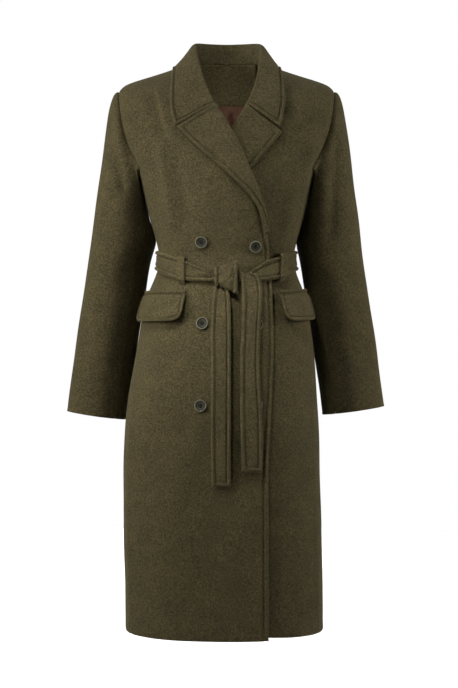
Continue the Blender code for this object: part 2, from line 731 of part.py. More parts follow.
def collar_section(side, place):
    """Visible face of the collar from the neck seam over the roll to its edge, and its first normal."""
    table = RIGHT_COLLAR if side < 0 else LEFT_COLLAR
    values = [along(table, place, k) for k in range(1, 7)]
    roll = Vector((side * values[0], values[1], values[2]))
    edge = Vector((side * values[3], values[4], values[5]))
    point, normal = neck_seam(side, place)
    step = 0.01
    run = neck_seam(side, min(place + step, 1))[0] - neck_seam(side, max(place - step, 0))[0]
    away = run.cross(normal).normalized()
    if away.dot(Vector((0, 0.01, 0.03)) - point) < 0:
        away = -away
    leave = roll - point
    lean = max(0.0, min(pi / 2, atan2(leave.dot(normal), leave.dot(away))))
    under = normal * cos(lean) - away * sin(lean)
    base = point + away * COLLAR_GAP - normal * WALL * sin(lean) - under * COLLAR_WALL
    up = (roll - base).normalized()
    out = (edge - roll) - up * (edge - roll).dot(up)
    out.normalize()
    bend = min(COLLAR_ROLL, 0.45 * (roll - base).length)
    over = roll + out * bend * 1.8 - up * bend * 0.5
    line = [base, mix(base, roll, 0.5), roll - up * bend * 0.7, roll + out * bend * 0.6, over]
    line += [mix(over, edge, t) for t in COLLAR_FALL]
    clear = COLLAR_WALL + REST
    return [p if k < 4 else lifted(p, clear) for k, p in enumerate(line)], -under


def collar():
    places = [k / COLLAR_HALF for k in range(COLLAR_HALF + 1)]
    sections = [collar_section(-1, p) for p in places]
    sections += [collar_section(1, p) for p in reversed(places[:-1])]
    visible = [list(row) for row in zip(*[line for line, _ in sections])]
    normals = grid_normals(visible)
    if normals[6][COLLAR_HALF].y < 0:
        normals = [[-n for n in line] for line in normals]
    normals[0] = [first for _, first in sections]
    wall("collar", visible, moved(visible, normals, -COLLAR_WALL))


collar()

INSIDE_GAP = 0.0030     # between the back and what lies inside it


def inside_back(name, places, top, bottom, rows, thickness, colour, pleat=0.0, hung=None):
    """Sheet inside the back, between a top and a level bottom edge, or hung from a line of points."""
    face = []
    for row in range(rows + 1):
        line = []
        for across in places:
            x = MIDDLE + across
            height = mix(top, bottom, row / rows)
            fold = pleat * 2 ** -((across / 0.007) ** 2)
            point = body_point(pi - turn_at(x, height), height, -WALL - INSIDE_GAP - fold)
            if hung:
                point = mix(hung(x), point, row / rows)
            line.append(point)
        face.append(line)
    normals = [[n if n.y < 0 else -n for n in line] for line in grid_normals(face)]
    wall(name, face, moved(face, normals, thickness), colour=colour)


def both_ways(places):
    return [*[-x for x in reversed(places)], 0, *places]


FACING_PLACES = both_ways([0.015, 0.030, 0.046, 0.062])
LINING_PLACES = both_ways([0.010, 0.022, 0.042, 0.065, 0.090, 0.115, 0.140])
FACING_TOP = 0.024
FACING_BOTTOM = -0.042
LINING_TOP = FACING_BOTTOM - SEAM * 2
LINING_BOTTOM = -0.310


def below_collar(x):
    """Point just below the collar's lower edge, over a place across the back neck."""
    side = 1 if x > MIDDLE else -1
    place = 1 - abs(x - MIDDLE) / NECK_HALF / 2
    return collar_section(side, place)[0][0] + Vector((0, SEAM, -REST * 1.5))


inside_back(
    "back_neck_facing", FACING_PLACES, FACING_TOP, FACING_BOTTOM, 4, FACING_WALL, WOOL, hung=below_collar)
inside_back("back_lining", LINING_PLACES, LINING_TOP, LINING_BOTTOM, 8, LINING_WALL, LINING, pleat=0.0040)

# Belt round the waist: turn from the front middle in degrees, middle height, half height, gap below
BELT = [
    (28, -0.4010, 0.0172, 0.0026), (37, -0.3955, 0.0205, 0.0022), (50, -0.3890, 0.0206, 0.0022),
    (66, -0.3790, 0.0206, 0.0028), (90, -0.3710, 0.0205, 0.0028), (180, -0.3660, 0.0205, 0.0026),
]
RIGHT_RUN = [
    (0, -0.4110, 0.0100, 0.0052), (13, -0.4090, 0.0110, 0.0048), (20, -0.4058, 0.0140, 0.0036), *BELT,
]
LEFT_RUN = [
    (0, -0.4185, 0.0060, 0.0052), (16, -0.4130, 0.0085, 0.0050), (23, -0.4060, 0.0138, 0.0046), *BELT,
]
BELT_END = 8           # where the belt goes into the knot, in degrees from the front middle
BELT_COLUMNS = 40


def belt_at(turn):
    """Middle height, half height and outer face of the belt at a turn in radians."""
    away = (degrees(turn) + 180) % 360 - 180
    run = RIGHT_RUN if away < 0 else LEFT_RUN
    return along(run, abs(away), 1), along(run, abs(away), 2), along(run, abs(away), 3) + BELT_WALL


def waist_belt():
    outer, normals = [[], [], []], [[], [], []]
    for c in range(BELT_COLUMNS + 1):
        turn = radians(mix(BELT_END, 360 - BELT_END, c / BELT_COLUMNS))
        middle, half, out = belt_at(turn)
        for row, level in enumerate((1, 0, -1)):
            outer[row].append(body_point(turn, middle + level * half, out))
            normals[row].append(body_normal(turn, middle + level * half))
    wall("belt", outer, moved(outer, normals, -BELT_WALL))


waist_belt()

# Belt loops: across, drop onto the facets
LOOPS = {"right_belt_loop": (-0.0875, 0.0), "left_belt_loop": (0.1045, 0.0006)}
LOOP_HALF = 0.0068
LOOP_ABOVE = 0.0084    # how far a loop reaches past the belt
LOOP_BELOW = 0.0092
LOOP_SEWN = [(0.0031, 1), (0.0106, 0)]    # outer face, share of the drop
# How a loop rises over the belt: share of its length, outer face
LOOP_RISE = [
    (0, 0.0031), (0.05, 0.0056), (0.10, 0.0106), (0.5, 0.0108), (0.88, 0.0106), (0.94, 0.0056), (1, 0.0031),
]


def facing_away(grid, normals, inside=Vector((0, 0, -0.4))):
    """Normals turned so that they point away from the inside of the coat."""
    middle_row, middle = len(grid) // 2, len(grid[0]) // 2
    point = grid[middle_row][middle]
    outward = Vector((point.x - inside.x, point.y - inside.y, 0))
    sign = 1 if normals[middle_row][middle].dot(outward) > 0 else -1
    return [[n * sign for n in line] for line in normals]


def sheet_on_front(name, rows, thickness):
    """Wall whose outer face is given as rows of places across, up and out from the coat."""
    outer = [[on_front(*place) for place in row] for row in rows]
    normals = facing_away(outer, grid_normals(outer))
    wall(name, outer, moved(outer, normals, -thickness))


def loop_row(x, share, out):
    """Places of one row of a loop, which leans as the belt does."""
    row = []
    for across, bulge in ((-LOOP_HALF, 0), (0, 0.0003), (LOOP_HALF, 0)):
        middle, half, _ = belt_at(turn_at(x + across, BELT[1][1]))
        height = mix(middle + half + LOOP_ABOVE, middle - half - LOOP_BELOW, share)
        row.append((x + across, height, out + bulge))
    return row


for name, (x, drop) in LOOPS.items():
    rows = [loop_row(x, share, rise - drop * along(LOOP_SEWN, rise)) for share, rise in LOOP_RISE]
    sheet_on_front(name, rows, WALL)

# Knot: across, middle height, half height
KNOT = [
    (-0.0250, -0.4115, 0.0170), (-0.0130, -0.4100, 0.0222), (0.0040, -0.4112, 0.0285),
    (0.0175, -0.4125, 0.0332),
]
KNOT_WALL = 0.0030
KNOT_DEPTH = 0.0135
KNOT_STEPS = 10
KNOT_REACH = 112       # degrees that the knot wraps to, above and below


def knot():
    """Wrap of the belt over itself: a band that curls in to the coat above and below the belt."""
    outer = []
    for k in range(KNOT_STEPS + 1):
        angle = radians(mix(KNOT_REACH, -KNOT_REACH, k / KNOT_STEPS))
        line = []
        for x, middle, half in KNOT:
            out = 0.0040 + KNOT_DEPTH * (1 + cos(angle)) / 2
            line.append(on_front(x, middle + half * sin(angle), out))
        outer.append(line)
    normals = facing_away(outer, grid_normals(outer))
    wall("belt_knot", outer, moved(outer, normals, -KNOT_WALL))


knot()

# Turned part of the belt that looks out above the left run, beside the knot: height, left edge, right edge
TUCK = [
    (-0.3825, 0.0120, 0.0210), (-0.3870, 0.0120, 0.0362), (-0.3917, 0.0120, 0.0455),
    (-0.3980, 0.0120, 0.0420), (-0.4060, 0.0120, 0.0370),
]
TUCK_WALL = 0.0028
tuck_rows = [
    [(mix(left, right, share), height, TUCK_WALL + REST) for share in (0, 0.35, 0.7, 1)]
    for height, left, right in TUCK
]
sheet_on_front("belt_tuck", tuck_rows, TUCK_WALL)

# Hanging ends: height, left edge, right edge, outer face
RIGHT_END = [
    (-0.4245, -0.0245, 0.0020, 0.0046), (-0.4300, -0.0252, 0.0025, 0.0062),
    (-0.4400, -0.0265, 0.0035, 0.0118), (-0.4563, -0.0290, 0.0045, 0.0135),
    (-0.5200, -0.0315, 0.0055, 0.0130), (-0.6000, -0.0310, 0.0055, 0.0120),
    (-0.7000, -0.0320, 0.0050, 0.0110), (-0.8070, -0.0305, 0.0050, 0.0105),
]
LEFT_END = [
    (-0.4050, 0.0195, 0.0480, 0.0134), (-0.4120, 0.0222, 0.0560, 0.0148), (-0.4280, 0.0258, 0.0608, 0.0158),
    (-0.4500, 0.0268, 0.0628, 0.0150), (-0.5000, 0.0255, 0.0600, 0.0135), (-0.5800, 0.0225, 0.0570, 0.0135),
    (-0.6600, 0.0225, 0.0620, 0.0135), (-0.7200, 0.0240, 0.0630, 0.0120), (-0.7800, 0.0260, 0.0630, 0.0110),
]
RIGHT_SLANT = -0.0115  # how much lower the right end's upper edge is on its right, under the knot
SLANT_ROWS = 5         # rows over which that fades
END_ROWS = 15


def hanging_end(name, table, slant=0.0):
    rows = []
    top, bottom = table[0][0], table[-1][0]
    for r in range(END_ROWS + 1):
        height = mix(top, bottom, (r / END_ROWS) ** 1.5)
        left, right, out = (along(table, height, k) for k in (1, 2, 3))
        lean = slant * max(0.0, 1 - r / SLANT_ROWS)
        rows.append([(mix(left, right, share), height + lean * share, out) for share in (0, 0.35, 0.7, 1)])
    sheet_on_front(name, rows, BELT_WALL)


hanging_end("belt_right_end", RIGHT_END, RIGHT_SLANT)
hanging_end("belt_left_end", LEFT_END)

# Pocket flaps: first and last turn in degrees, top, height, rise to the side, gap below the welt
FLAPS = {
    "right": (-28.5, -82, -0.4420, 0.055, 0.0020, 0.0006),
    "left": (39.5, 88, -0.4420, 0.055, 0.0075, 0.0008),
}
FLAP_ROWS = [0, 0.3, 0.6, 0.85, 1]
FLAP_COLUMNS = 10
FLAP_CORNER = 0.020
FLAP_GAP = 0.0016
FLAP_STAND = (0.0105, 0.0045)  # how far the lower edge stands off, at the front and at the side
WELT_TALL = 0.0055


def flap(word, first, last, top, tall, rise, gap):
    """Flap that hangs from its top seam and stands off a little below, with rounded lower corners."""
    outer, normals = [], []
    length = abs(radians(last - first)) * half_width(top - tall / 2)
    for share in FLAP_ROWS:
        line, line_normals = [], []
        for c in range(FLAP_COLUMNS + 1):
            spread = (1 - cos(pi * c / FLAP_COLUMNS)) / 2
            from_end = min(spread, 1 - spread) * length
            cut = FLAP_CORNER - sqrt(max(0.0, FLAP_CORNER ** 2 - max(0.0, FLAP_CORNER - from_end) ** 2))
            height = top + rise * spread - (tall - cut) * share
            turn = radians(mix(first, last, spread))
            line_normals.append(body_normal(turn, height))
            line.append(body_point(turn, height, FLAP_WALL + FLAP_GAP + mix(*FLAP_STAND, spread) * share))
        outer.append(line)
        normals.append(line_normals)
    wall(word + "_pocket_flap", outer, moved(outer, normals, -FLAP_WALL))
    outer, normals = [], []
    shares = [c / FLAP_COLUMNS for c in range(FLAP_COLUMNS + 1)]
    for above in (SEAM + WELT_TALL, SEAM + WELT_TALL / 2, SEAM * 2):
        places = [(radians(mix(first, last, s)), top + above + rise * s) for s in shares]
        outer.append([body_point(turn, height, WALL + gap) for turn, height in places])
        normals.append([body_normal(turn, height) for turn, height in places])
    wall(word + "_pocket_welt", outer, moved(outer, normals, -WALL))


for word, sizes in FLAPS.items():
    flap(word, *sizes)
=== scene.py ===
# Long coat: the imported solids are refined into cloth, stitched, given their wool, and lit as in a studio.
import bmesh
import bpy
import numpy as np
from math import radians
from mathutils import Matrix, Vector
from mathutils.kdtree import KDTree


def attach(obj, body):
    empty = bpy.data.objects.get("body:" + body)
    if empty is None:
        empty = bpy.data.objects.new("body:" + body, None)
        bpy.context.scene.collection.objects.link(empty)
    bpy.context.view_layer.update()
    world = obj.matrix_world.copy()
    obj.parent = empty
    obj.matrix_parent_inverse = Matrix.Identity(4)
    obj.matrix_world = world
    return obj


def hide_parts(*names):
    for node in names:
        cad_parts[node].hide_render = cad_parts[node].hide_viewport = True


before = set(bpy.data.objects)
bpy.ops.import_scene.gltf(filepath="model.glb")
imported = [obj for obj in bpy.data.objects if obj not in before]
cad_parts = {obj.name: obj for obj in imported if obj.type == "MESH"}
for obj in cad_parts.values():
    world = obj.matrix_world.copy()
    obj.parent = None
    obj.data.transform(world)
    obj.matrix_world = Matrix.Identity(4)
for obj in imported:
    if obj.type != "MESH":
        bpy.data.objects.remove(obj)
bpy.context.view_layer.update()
scene = bpy.context.scene
print("frame loaded:", len(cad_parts), "nodes")

# Materials


def newMaterial(name):
    made = bpy.data.materials.new(name)
    made.use_nodes = True
    tree = made.node_tree
    return made, tree, tree.nodes["Principled BSDF"]


def addNode(tree, kind, **settings):
    made = tree.nodes.new(kind)
    for name, value in settings.items():
        if name in made.inputs:
            made.inputs[name].default_value = value
        else:
            setattr(made, name, value)
    return made


def colourRamp(tree, factor, stops):
    ramp = tree.nodes.new("ShaderNodeValToRGB")
    while len(ramp.color_ramp.elements) < len(stops):
        ramp.color_ramp.elements.new(0.5)
    for element, (place, colour) in zip(ramp.color_ramp.elements, stops):
        element.position = place
        element.color = (*colour, 1)
    tree.links.new(factor, ramp.inputs["Fac"])
    return ramp.outputs["Color"]


def mixColours(tree, blend, amount, first, second):
    mix = tree.nodes.new("ShaderNodeMix")
    mix.data_type = "RGBA"
    mix.blend_type = blend
    mix.inputs["Factor"].default_value = amount
    tree.links.new(first, mix.inputs["A"])
    tree.links.new(second, mix.inputs["B"])
    return mix.outputs["Result"]


def mathNode(tree, operation, first, second):
    node = tree.nodes.new("ShaderNodeMath")
    node.operation = operation
    for socket, value in zip(node.inputs, (first, second)):
        if isinstance(value, (int, float)):
            socket.default_value = value
        else:
            tree.links.new(value, socket)
    return node.outputs["Value"]


wavePeriod = 0.314  # of a wave texture at scale 1
woolLook = {
    "dark": (0.026, 0.022, 0.009), "middle": (0.070, 0.058, 0.027), "light": (0.150, 0.122, 0.060),
    "fleckScale": 330.0, "patchScale": 26.0, "napScale": 1500.0, "threadPitch": 0.0011,
    "bumpStrength": 0.55, "bumpDistance": 0.0006, "weaveShare": 0.35, "fleckShare": 0.6,
    "roughness": 0.95, "specular": 0.15,
    "sheen": 0.10, "sheenRoughness": 0.55, "sheenTint": (0.62, 0.55, 0.36),
    # where the dark, middle and light flecks lie in the noise
    "fleckStops": (0.30, 0.50, 0.72),
    # place in the noise, tint
    "patches": [(0.30, (0.86, 0.87, 0.88)), (0.70, (1.12, 1.10, 1.06))],
}


def makeWool(name, look, paintedLightFactor=1.0):
    made, tree, shader = newMaterial(name)
    place = tree.nodes.new("ShaderNodeTexCoord")
    flecks = addNode(tree, "ShaderNodeTexNoise", Scale=look["fleckScale"], Detail=4.0, Roughness=0.72)
    patches = addNode(tree, "ShaderNodeTexNoise", Scale=look["patchScale"], Detail=3.0, Roughness=0.55)
    nap = addNode(tree, "ShaderNodeTexNoise", Scale=look["napScale"], Detail=2.0, Roughness=0.6)
    for node in (flecks, patches, nap):
        tree.links.new(place.outputs["Object"], node.inputs["Vector"])
    # the factor brightens every tone; above 1 it paints light into the colour, making a lighter copy of the
    # same wool
    tones = [tuple(c * paintedLightFactor for c in look[k]) for k in ("dark", "middle", "light")]
    fleckColour = colourRamp(tree, flecks.outputs["Fac"], list(zip(look["fleckStops"], tones)))
    patchColour = colourRamp(tree, patches.outputs["Fac"], look["patches"])
    colour = mixColours(tree, "MULTIPLY", 1.0, fleckColour, patchColour)
    tree.links.new(colour, shader.inputs["Base Color"])
    # two crossed sets of threads under the nap, on the piece's own map in metres
    threads = []
    for direction in ("X", "Y"):
        wave = addNode(tree, "ShaderNodeTexWave", bands_direction=direction,
                       Scale=wavePeriod / look["threadPitch"], Distortion=1.2, Detail=1.0)
        tree.links.new(place.outputs["UV"], wave.inputs["Vector"])
        threads.append(wave.outputs["Fac"])
    weave = mathNode(tree, "MULTIPLY", threads[0], threads[1])
    woven = mathNode(tree, "MULTIPLY", weave, look["weaveShare"])
    flecked = mathNode(tree, "MULTIPLY", flecks.outputs["Fac"], look["fleckShare"])
    height = mathNode(tree, "ADD", mathNode(tree, "ADD", woven, nap.outputs["Fac"]), flecked)
    bump = addNode(tree, "ShaderNodeBump", Strength=look["bumpStrength"], Distance=look["bumpDistance"])
    tree.links.new(height, bump.inputs["Height"])
    tree.links.new(bump.outputs["Normal"], shader.inputs["Normal"])
    shader.inputs["Roughness"].default_value = look["roughness"]
    shader.inputs["Specular IOR Level"].default_value = look["specular"]
    shader.inputs["Sheen Weight"].default_value = look["sheen"]
    shader.inputs["Sheen Roughness"].default_value = look["sheenRoughness"]
    shader.inputs["Sheen Tint"].default_value = (*look["sheenTint"], 1)
    return made


liningLook = {"dark": (0.115, 0.052, 0.030), "light": (0.250, 0.127, 0.078), "scale": 60.0,
              "bumpStrength": 0.2, "bumpDistance": 0.0003, "roughness": 0.55, "specular": 0.12}


def makeLining(look):
    made, tree, shader = newMaterial("lining satin")
    place = tree.nodes.new("ShaderNodeTexCoord")
    weave = addNode(tree, "ShaderNodeTexNoise", Scale=look["scale"], Detail=4.0, Roughness=0.6)
    tree.links.new(place.outputs["Object"], weave.inputs["Vector"])
    colour = colourRamp(tree, weave.outputs["Fac"], [(0.25, look["dark"]), (0.75, look["light"])])
    tree.links.new(colour, shader.inputs["Base Color"])
    bump = addNode(tree, "ShaderNodeBump", Strength=look["bumpStrength"], Distance=look["bumpDistance"])
    tree.links.new(weave.outputs["Fac"], bump.inputs["Height"])
    tree.links.new(bump.outputs["Normal"], shader.inputs["Normal"])
    shader.inputs["Roughness"].default_value = look["roughness"]
    shader.inputs["Specular IOR Level"].default_value = look["specular"]
    return made


buttonLook = {"dark": (0.036, 0.036, 0.026), "light": (0.064, 0.063, 0.046), "scale": 140.0,
              "roughness": 0.40, "roughnessSpread": 0.2, "specular": 0.12,
              # share of the radius, tint: painted shade round the holes and in the groove near the rim,
              # painted highlight on the rim
              "rings": [(0.30, (0.45, 0.45, 0.45)), (0.42, (1.15, 1.15, 1.15)), (0.64, (0.90, 0.90, 0.90)),
                        (0.74, (0.15, 0.15, 0.15)), (0.82, (2.8, 2.8, 2.7)), (0.95, (4.0, 4.0, 3.8)),
                        (1.0, (0.8, 0.8, 0.8))]}


def makeButtonResin(look):
    made, tree, shader = newMaterial("button resin")
    place = tree.nodes.new("ShaderNodeTexCoord")
    marble = addNode(tree, "ShaderNodeTexNoise", Scale=look["scale"], Detail=5.0, Roughness=0.6,
                     Distortion=1.5)
    tree.links.new(place.outputs["Object"], marble.inputs["Vector"])
    colour = colourRamp(tree, marble.outputs["Fac"], [(0.3, look["dark"]), (0.7, look["light"])])
    # painted shade and highlight by the distance from the middle of the button: darker round the holes and
    # in the groove, much lighter on the rim
    away = addNode(tree, "ShaderNodeAttribute", attribute_name="fromMiddle")
    tint = colourRamp(tree, away.outputs["Fac"], look["rings"])
    colour = mixColours(tree, "MULTIPLY", 1.0, colour, tint)
    tree.links.new(colour, shader.inputs["Base Color"])
    spread = mathNode(tree, "MULTIPLY", marble.outputs["Fac"], look["roughnessSpread"])
    tree.links.new(mathNode(tree, "ADD", spread, look["roughness"]), shader.inputs["Roughness"])
    shader.inputs["Specular IOR Level"].default_value = look["specular"]
    return made


threadLook = {"dark": (0.022, 0.019, 0.010), "light": (0.050, 0.042, 0.022), "scale": 2600.0,
              "roughness": 0.6}
buttonThreadLook = {**threadLook, "dark": (0.005, 0.005, 0.004), "light": (0.014, 0.013, 0.010)}


def makeThread(name, look):
    made, tree, shader = newMaterial(name)
    place = tree.nodes.new("ShaderNodeTexCoord")
    twist = addNode(tree, "ShaderNodeTexNoise", Scale=look["scale"], Detail=1.0)
    tree.links.new(place.outputs["Object"], twist.inputs["Vector"])
    colour = colourRamp(tree, twist.outputs["Fac"], [(0.3, look["dark"]), (0.7, look["light"])])
    tree.links.new(colour, shader.inputs["Base Color"])
    shader.inputs["Roughness"].default_value = look["roughness"]
    return made


wool = makeWool("olive wool", woolLook)
# the back neck facing is the same wool painted 2.2 times lighter: painted light standing in for the lamp
# light that the collar keeps from the inside of the neck
paintedLighterFacingWool = makeWool("facing wool painted lighter", woolLook, paintedLightFactor=2.2)
lining = makeLining(liningLook)
resin = makeButtonResin(buttonLook)
thread = makeThread("sewing thread", threadLook)
darkThread = makeThread("button thread", buttonThreadLook)
print("materials made")

# Folds of the worn coat

# each fold in millimetres: start across and up, end across and up, half width, rise
# a rise below zero makes a trough
folds = {
    "front": [
        (-150, -50, -128, -138, 10, -8.5), (-172, -58, -158, -104, 9, 2.2),
        (-128, -146, -104, -305, 10, 7.0), (-160, -130, -136, -250, 9, -2.0),
        (-98, -180, -78, -300, 13, -4.0), (118, -90, 150, -190, 12, -4.5), (172, -90, 148, -235, 10, 2.2),
        (134, -120, 118, -300, 10, 3.5), (-168, -372, -118, -386, 4, 1.6),
        (-166, -386, -120, -400, 3.5, -1.7), (-60, -394, -24, -384, 3.5, -1.5),
        (-58, -402, -24, -404, 4, 1.3), (60, -394, 96, -378, 3.5, -1.5), (136, -368, 112, -392, 4, -1.5),
        (-150, -690, -190, -860, 16, 1.6), (-40, -850, -50, -1090, 26, -1.2),
        (-100, -760, -108, -1090, 30, 1.2), (120, -700, 132, -1080, 24, -1.3),
        (30, -880, 26, -1090, 22, 1.0), (-120, -352, -60, -338, 6, 0.9), (-118, -438, -70, -452, 7, -0.8),
        (60, -446, 104, -432, 6, 0.8),
    ],
    "back": [
        (-70, -380, -84, -260, 14, -2.2), (64, -384, 82, -250, 14, -2.0), (-10, -430, -20, -700, 24, 1.6),
        (60, -440, 84, -800, 26, -1.6), (-80, -440, -96, -760, 26, -1.6), (0, -800, 4, -1090, 34, 1.2),
        (-120, -100, -60, -150, 18, 1.2), (116, -96, 64, -150, 18, 1.2),
    ],
    "right sleeve": [
        (-226, -250, -252, -330, 12, -1.6), (-252, -330, -226, -400, 11, 1.3),
        (-282, -420, -214, -445, 9, -1.2), (-280, -455, -222, -490, 8, 1.0),
        (-296, -560, -240, -600, 14, -0.9), (-240, -100, -205, -230, 11, -5.0),
        (-224, -66, -196, -172, 7, 2.6),
    ],
    "left sleeve": [
        (212, -145, 204, -325, 13, -7.0), (214, -70, 194, -152, 7, 2.6), (246, -330, 214, -400, 11, 1.3),
        (276, -430, 210, -452, 9, -1.2), (272, -470, 216, -500, 8, 1.0), (290, -575, 240, -612, 14, -0.9),
    ],
}
unevenness = 0.0005
sleeveLean = 0.016
# how far a sleeve swells towards the waist, and the height and half height of that
sleeveSwell = {"right": 0.0085, "left": 0.0065, "height": -0.325, "half": 0.028}
# a sleeve keeps its form near the armhole: clear of the seam, then growing looser across and down
sleeveHold = {"clear": 0.004, "across": 0.020, "top": -0.21, "down": 0.05}
# share of the front's folds at the side, and how it grows towards the front
frontShare = {"body": (0.5, 0.9), "sleeve": (0.15, 1.1)}
middleAt = {"body": -0.005, "shoulders": -0.003}  # across


def foldRise(points, table):
    rise = np.zeros(len(points))
    for x0, z0, x1, z1, half, height in table:
        start, run = np.array((x0, z0)) / 1000, np.array((x1 - x0, z1 - z0)) / 1000
        flat = points[:, (0, 2)] - start
        share = np.clip(flat @ run / (run @ run), 0, 1)
        away = np.linalg.norm(flat - share[:, None] * run, axis=1)
        rise += height / 1000 * np.exp(-(away * 1000 / half) ** 2)
    return rise


def waver(points):
    # slow unevenness of hung cloth, from a few waves across the coat
    x, y, z = points.T
    broad = np.sin(31 * x + 17 * z + 0.4) * np.sin(23 * z - 19 * y + 1.3)
    return broad + 0.6 * np.sin(57 * x - 41 * z + 2.1 * y)


sleeveAxis = {"right": ((-0.203, 0.002, -0.20), (-0.267, 0.036, -0.69)),
              "left": ((0.197, 0.002, -0.20), (0.261, 0.036, -0.68))}
# height and distance from the middle along the sleeve's seam
armholeEdge = [(-0.190, 0.178), (-0.152, 0.195), (-0.120, 0.205), (-0.044, 0.213), (0.0, 0.215)]


def outwards(points, around):
    # direction out of the body or of one sleeve
    if around == "body":
        middle = points * (0, 0, 1) + (middleAt["body"], 0, 0)
    else:
        top, cuff = (np.array(p) for p in sleeveAxis[around])
        share = (points[:, 2] - top[2]) / (cuff[2] - top[2])
        middle = top + np.clip(share, 0, 1)[:, None] * (cuff - top)
    out = points - middle
    out[:, 2] = 0
    return out / np.maximum(np.linalg.norm(out, axis=1), 1e-6)[:, None]


def settle(points, around, own=()):
    # moves cloth points out or in along the coat's folds and a piece's own
    # what lies on top moves with what lies below
    out = outwards(points, around)
    share, growth = frontShare["body" if around == "body" else "sleeve"]
    facing = np.clip(share - growth * out[:, 1], 0, 1)
    if around == "body":
        rise = facing * foldRise(points, folds["front"]) + (1 - facing) * foldRise(points, folds["back"])
        return points + out * (rise + foldRise(points, own) + unevenness * waver(points))[:, None]
    rise = facing * foldRise(points, folds[around + " sleeve"])
    seam = np.interp(points[:, 2], *np.array(armholeEdge).T)
    beyond = abs(points[:, 0] - middleAt["shoulders"]) - seam - sleeveHold["clear"]
    below = sleeveHold["top"] - points[:, 2]
    hold = np.clip(np.maximum(beyond / sleeveHold["across"], below / sleeveHold["down"]), 0, 1)
    # the side next to the body hangs back
    inward = np.clip(-out[:, 0] * np.sign(points[:, 0]), 0, 1)
    moved = points + out * (hold * (rise + unevenness * waver(points)))[:, None]
    moved[:, 1] += sleeveLean * hold * inward ** 2
    near = np.exp(-((points[:, 2] - sleeveSwell["height"]) / sleeveSwell["half"]) ** 2)
    moved[:, 0] -= np.sign(points[:, 0]) * sleeveSwell[around] * near * inward
    return moved


# Cloth

zones = {"outer": 0, "inner": 1, "rim": 2}  # kept as material numbers while a piece is made
sharpTurn = radians(50)
cornerTurn = radians(35)
seamEase = 0.0006       # sewn pieces are let out by this, so that they meet
rimRounding = 0.6       # levels of subdivision that round a rim
sideReach = 0.004       # from a stitched side to the points that belong to it
crossingShare = 0.6     # of an edge's length, above which it runs across the stitches
wrapRadius = {"body": 0.15, "sleeve": 0.06}


def weldedCopy(node):
    # the node's triangles, welded and joined into quads that subdivide evenly
    bm = bmesh.new()
    bm.from_mesh(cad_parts[node].data)
    bmesh.ops.remove_doubles(bm, verts=bm.verts, dist=1e-6)
    bmesh.ops.join_triangles(bm, faces=bm.faces, angle_face_threshold=1.0, angle_shape_threshold=3.1)
    return bm


def smoothRegions(bm):
    # faces joined across soft edges, the largest two first: the two sides of the cloth
    seen, found = set(), []
    for face in bm.faces:
        if face in seen:
            continue
        seen.add(face)
        waiting, region = [face], []
        while waiting:
            current = waiting.pop()
            region.append(current)
            for edge in current.edges:
                if edge.calc_face_angle(0) > sharpTurn:
                    continue
                for other in edge.link_faces:
                    if other not in seen:
                        seen.add(other)
                        waiting.append(other)
        found.append(region)
    return sorted(found, key=lambda region: -sum(f.calc_area() for f in region))


def facesOut(region, towards):
    total = sum((f.normal * f.calc_area() for f in region), Vector())
    return total.dot(Vector(towards))


def markZones(bm, towards):
    first, second = smoothRegions(bm)[:2]
    if facesOut(first, towards) < facesOut(second, towards):
        first, second = second, first
    for face in bm.faces:
        face.material_index = zones["rim"]
    for face in first:
        face.material_index = zones["outer"]
    for face in second:
        face.material_index = zones["inner"]


def borderEdges(bm, zone="outer"):
    index = zones[zone]
    return [e for e in bm.edges if sum(f.material_index == index for f in e.link_faces) == 1]


def borderLoop(bm, zone="outer"):
    # vertices round one side of the cloth, in order
    joined = {}
    edges = borderEdges(bm, zone)
    for edge in edges:
        for vert in edge.verts:
            joined.setdefault(vert, []).append(edge)
    loop, edge, vert = [], edges[0], edges[0].verts[0]
    while not loop or vert is not loop[0]:
        loop.append(vert)
        vert = edge.other_vert(vert)
        edge = [e for e in joined[vert] if e is not edge][0]
    return loop


def cornersOf(loop):
    found = []
    for k, vert in enumerate(loop):
        before = vert.co - loop[k - 1].co
        after = loop[(k + 1) % len(loop)].co - vert.co
        if before.angle(after, 0) > cornerTurn:
            found.append(k)
    return found


def sidesOf(loop):
    # the border from corner to corner, as lists of points
    corners = cornersOf(loop)
    sides = []
    for start, end in zip(corners, corners[1:] + [corners[0] + len(loop)]):
        sides.append([loop[k % len(loop)].co.copy() for k in range(start, end + 1)])
    return sides


def creaseRims(bm, sharpness):
    layer = bm.edges.layers.float.new("crease_edge")
    value = (sharpness / 10) ** 0.5  # holds for that many levels
    for edge in bm.edges:
        if len({f.material_index for f in edge.link_faces}) > 1:
            edge[layer] = value
    # corners stay where they are, so that neighbours still meet at the hem and the cuffs
    held = bm.verts.layers.float.new("crease_vert")
    for zone in ("outer", "inner"):
        loop = borderLoop(bm, zone)
        for k in cornersOf(loop):
            loop[k][held] = 1.0
            for edge in loop[k].link_edges:
                if all(f.material_index == zones["rim"] for f in edge.link_faces):
                    edge[layer] = value


def subdivided(bm, levels, name):
    mesh = bpy.data.meshes.new(name)
    bm.to_mesh(mesh)
    bm.free()
    rough = bpy.data.objects.new(name + "Rough", mesh)
    scene.collection.objects.link(rough)
    smooth = rough.modifiers.new("smooth", "SUBSURF")
    smooth.levels = smooth.render_levels = levels
    graph = bpy.context.evaluated_depsgraph_get()
    finer = bpy.data.meshes.new_from_object(rough.evaluated_get(graph))
    bpy.data.objects.remove(rough)
    made = bmesh.new()
    made.from_mesh(finer)
    bpy.data.meshes.remove(finer)
    return made


def dense(points, step=0.001):
    # a line of points filled in at even steps
    filled = []
    for a, b in zip(points, points[1:]):
        count = max(1, int((b - a).length / step))
        filled += [a.lerp(b, k / count) for k in range(count)]
    return filled + [points[-1]]


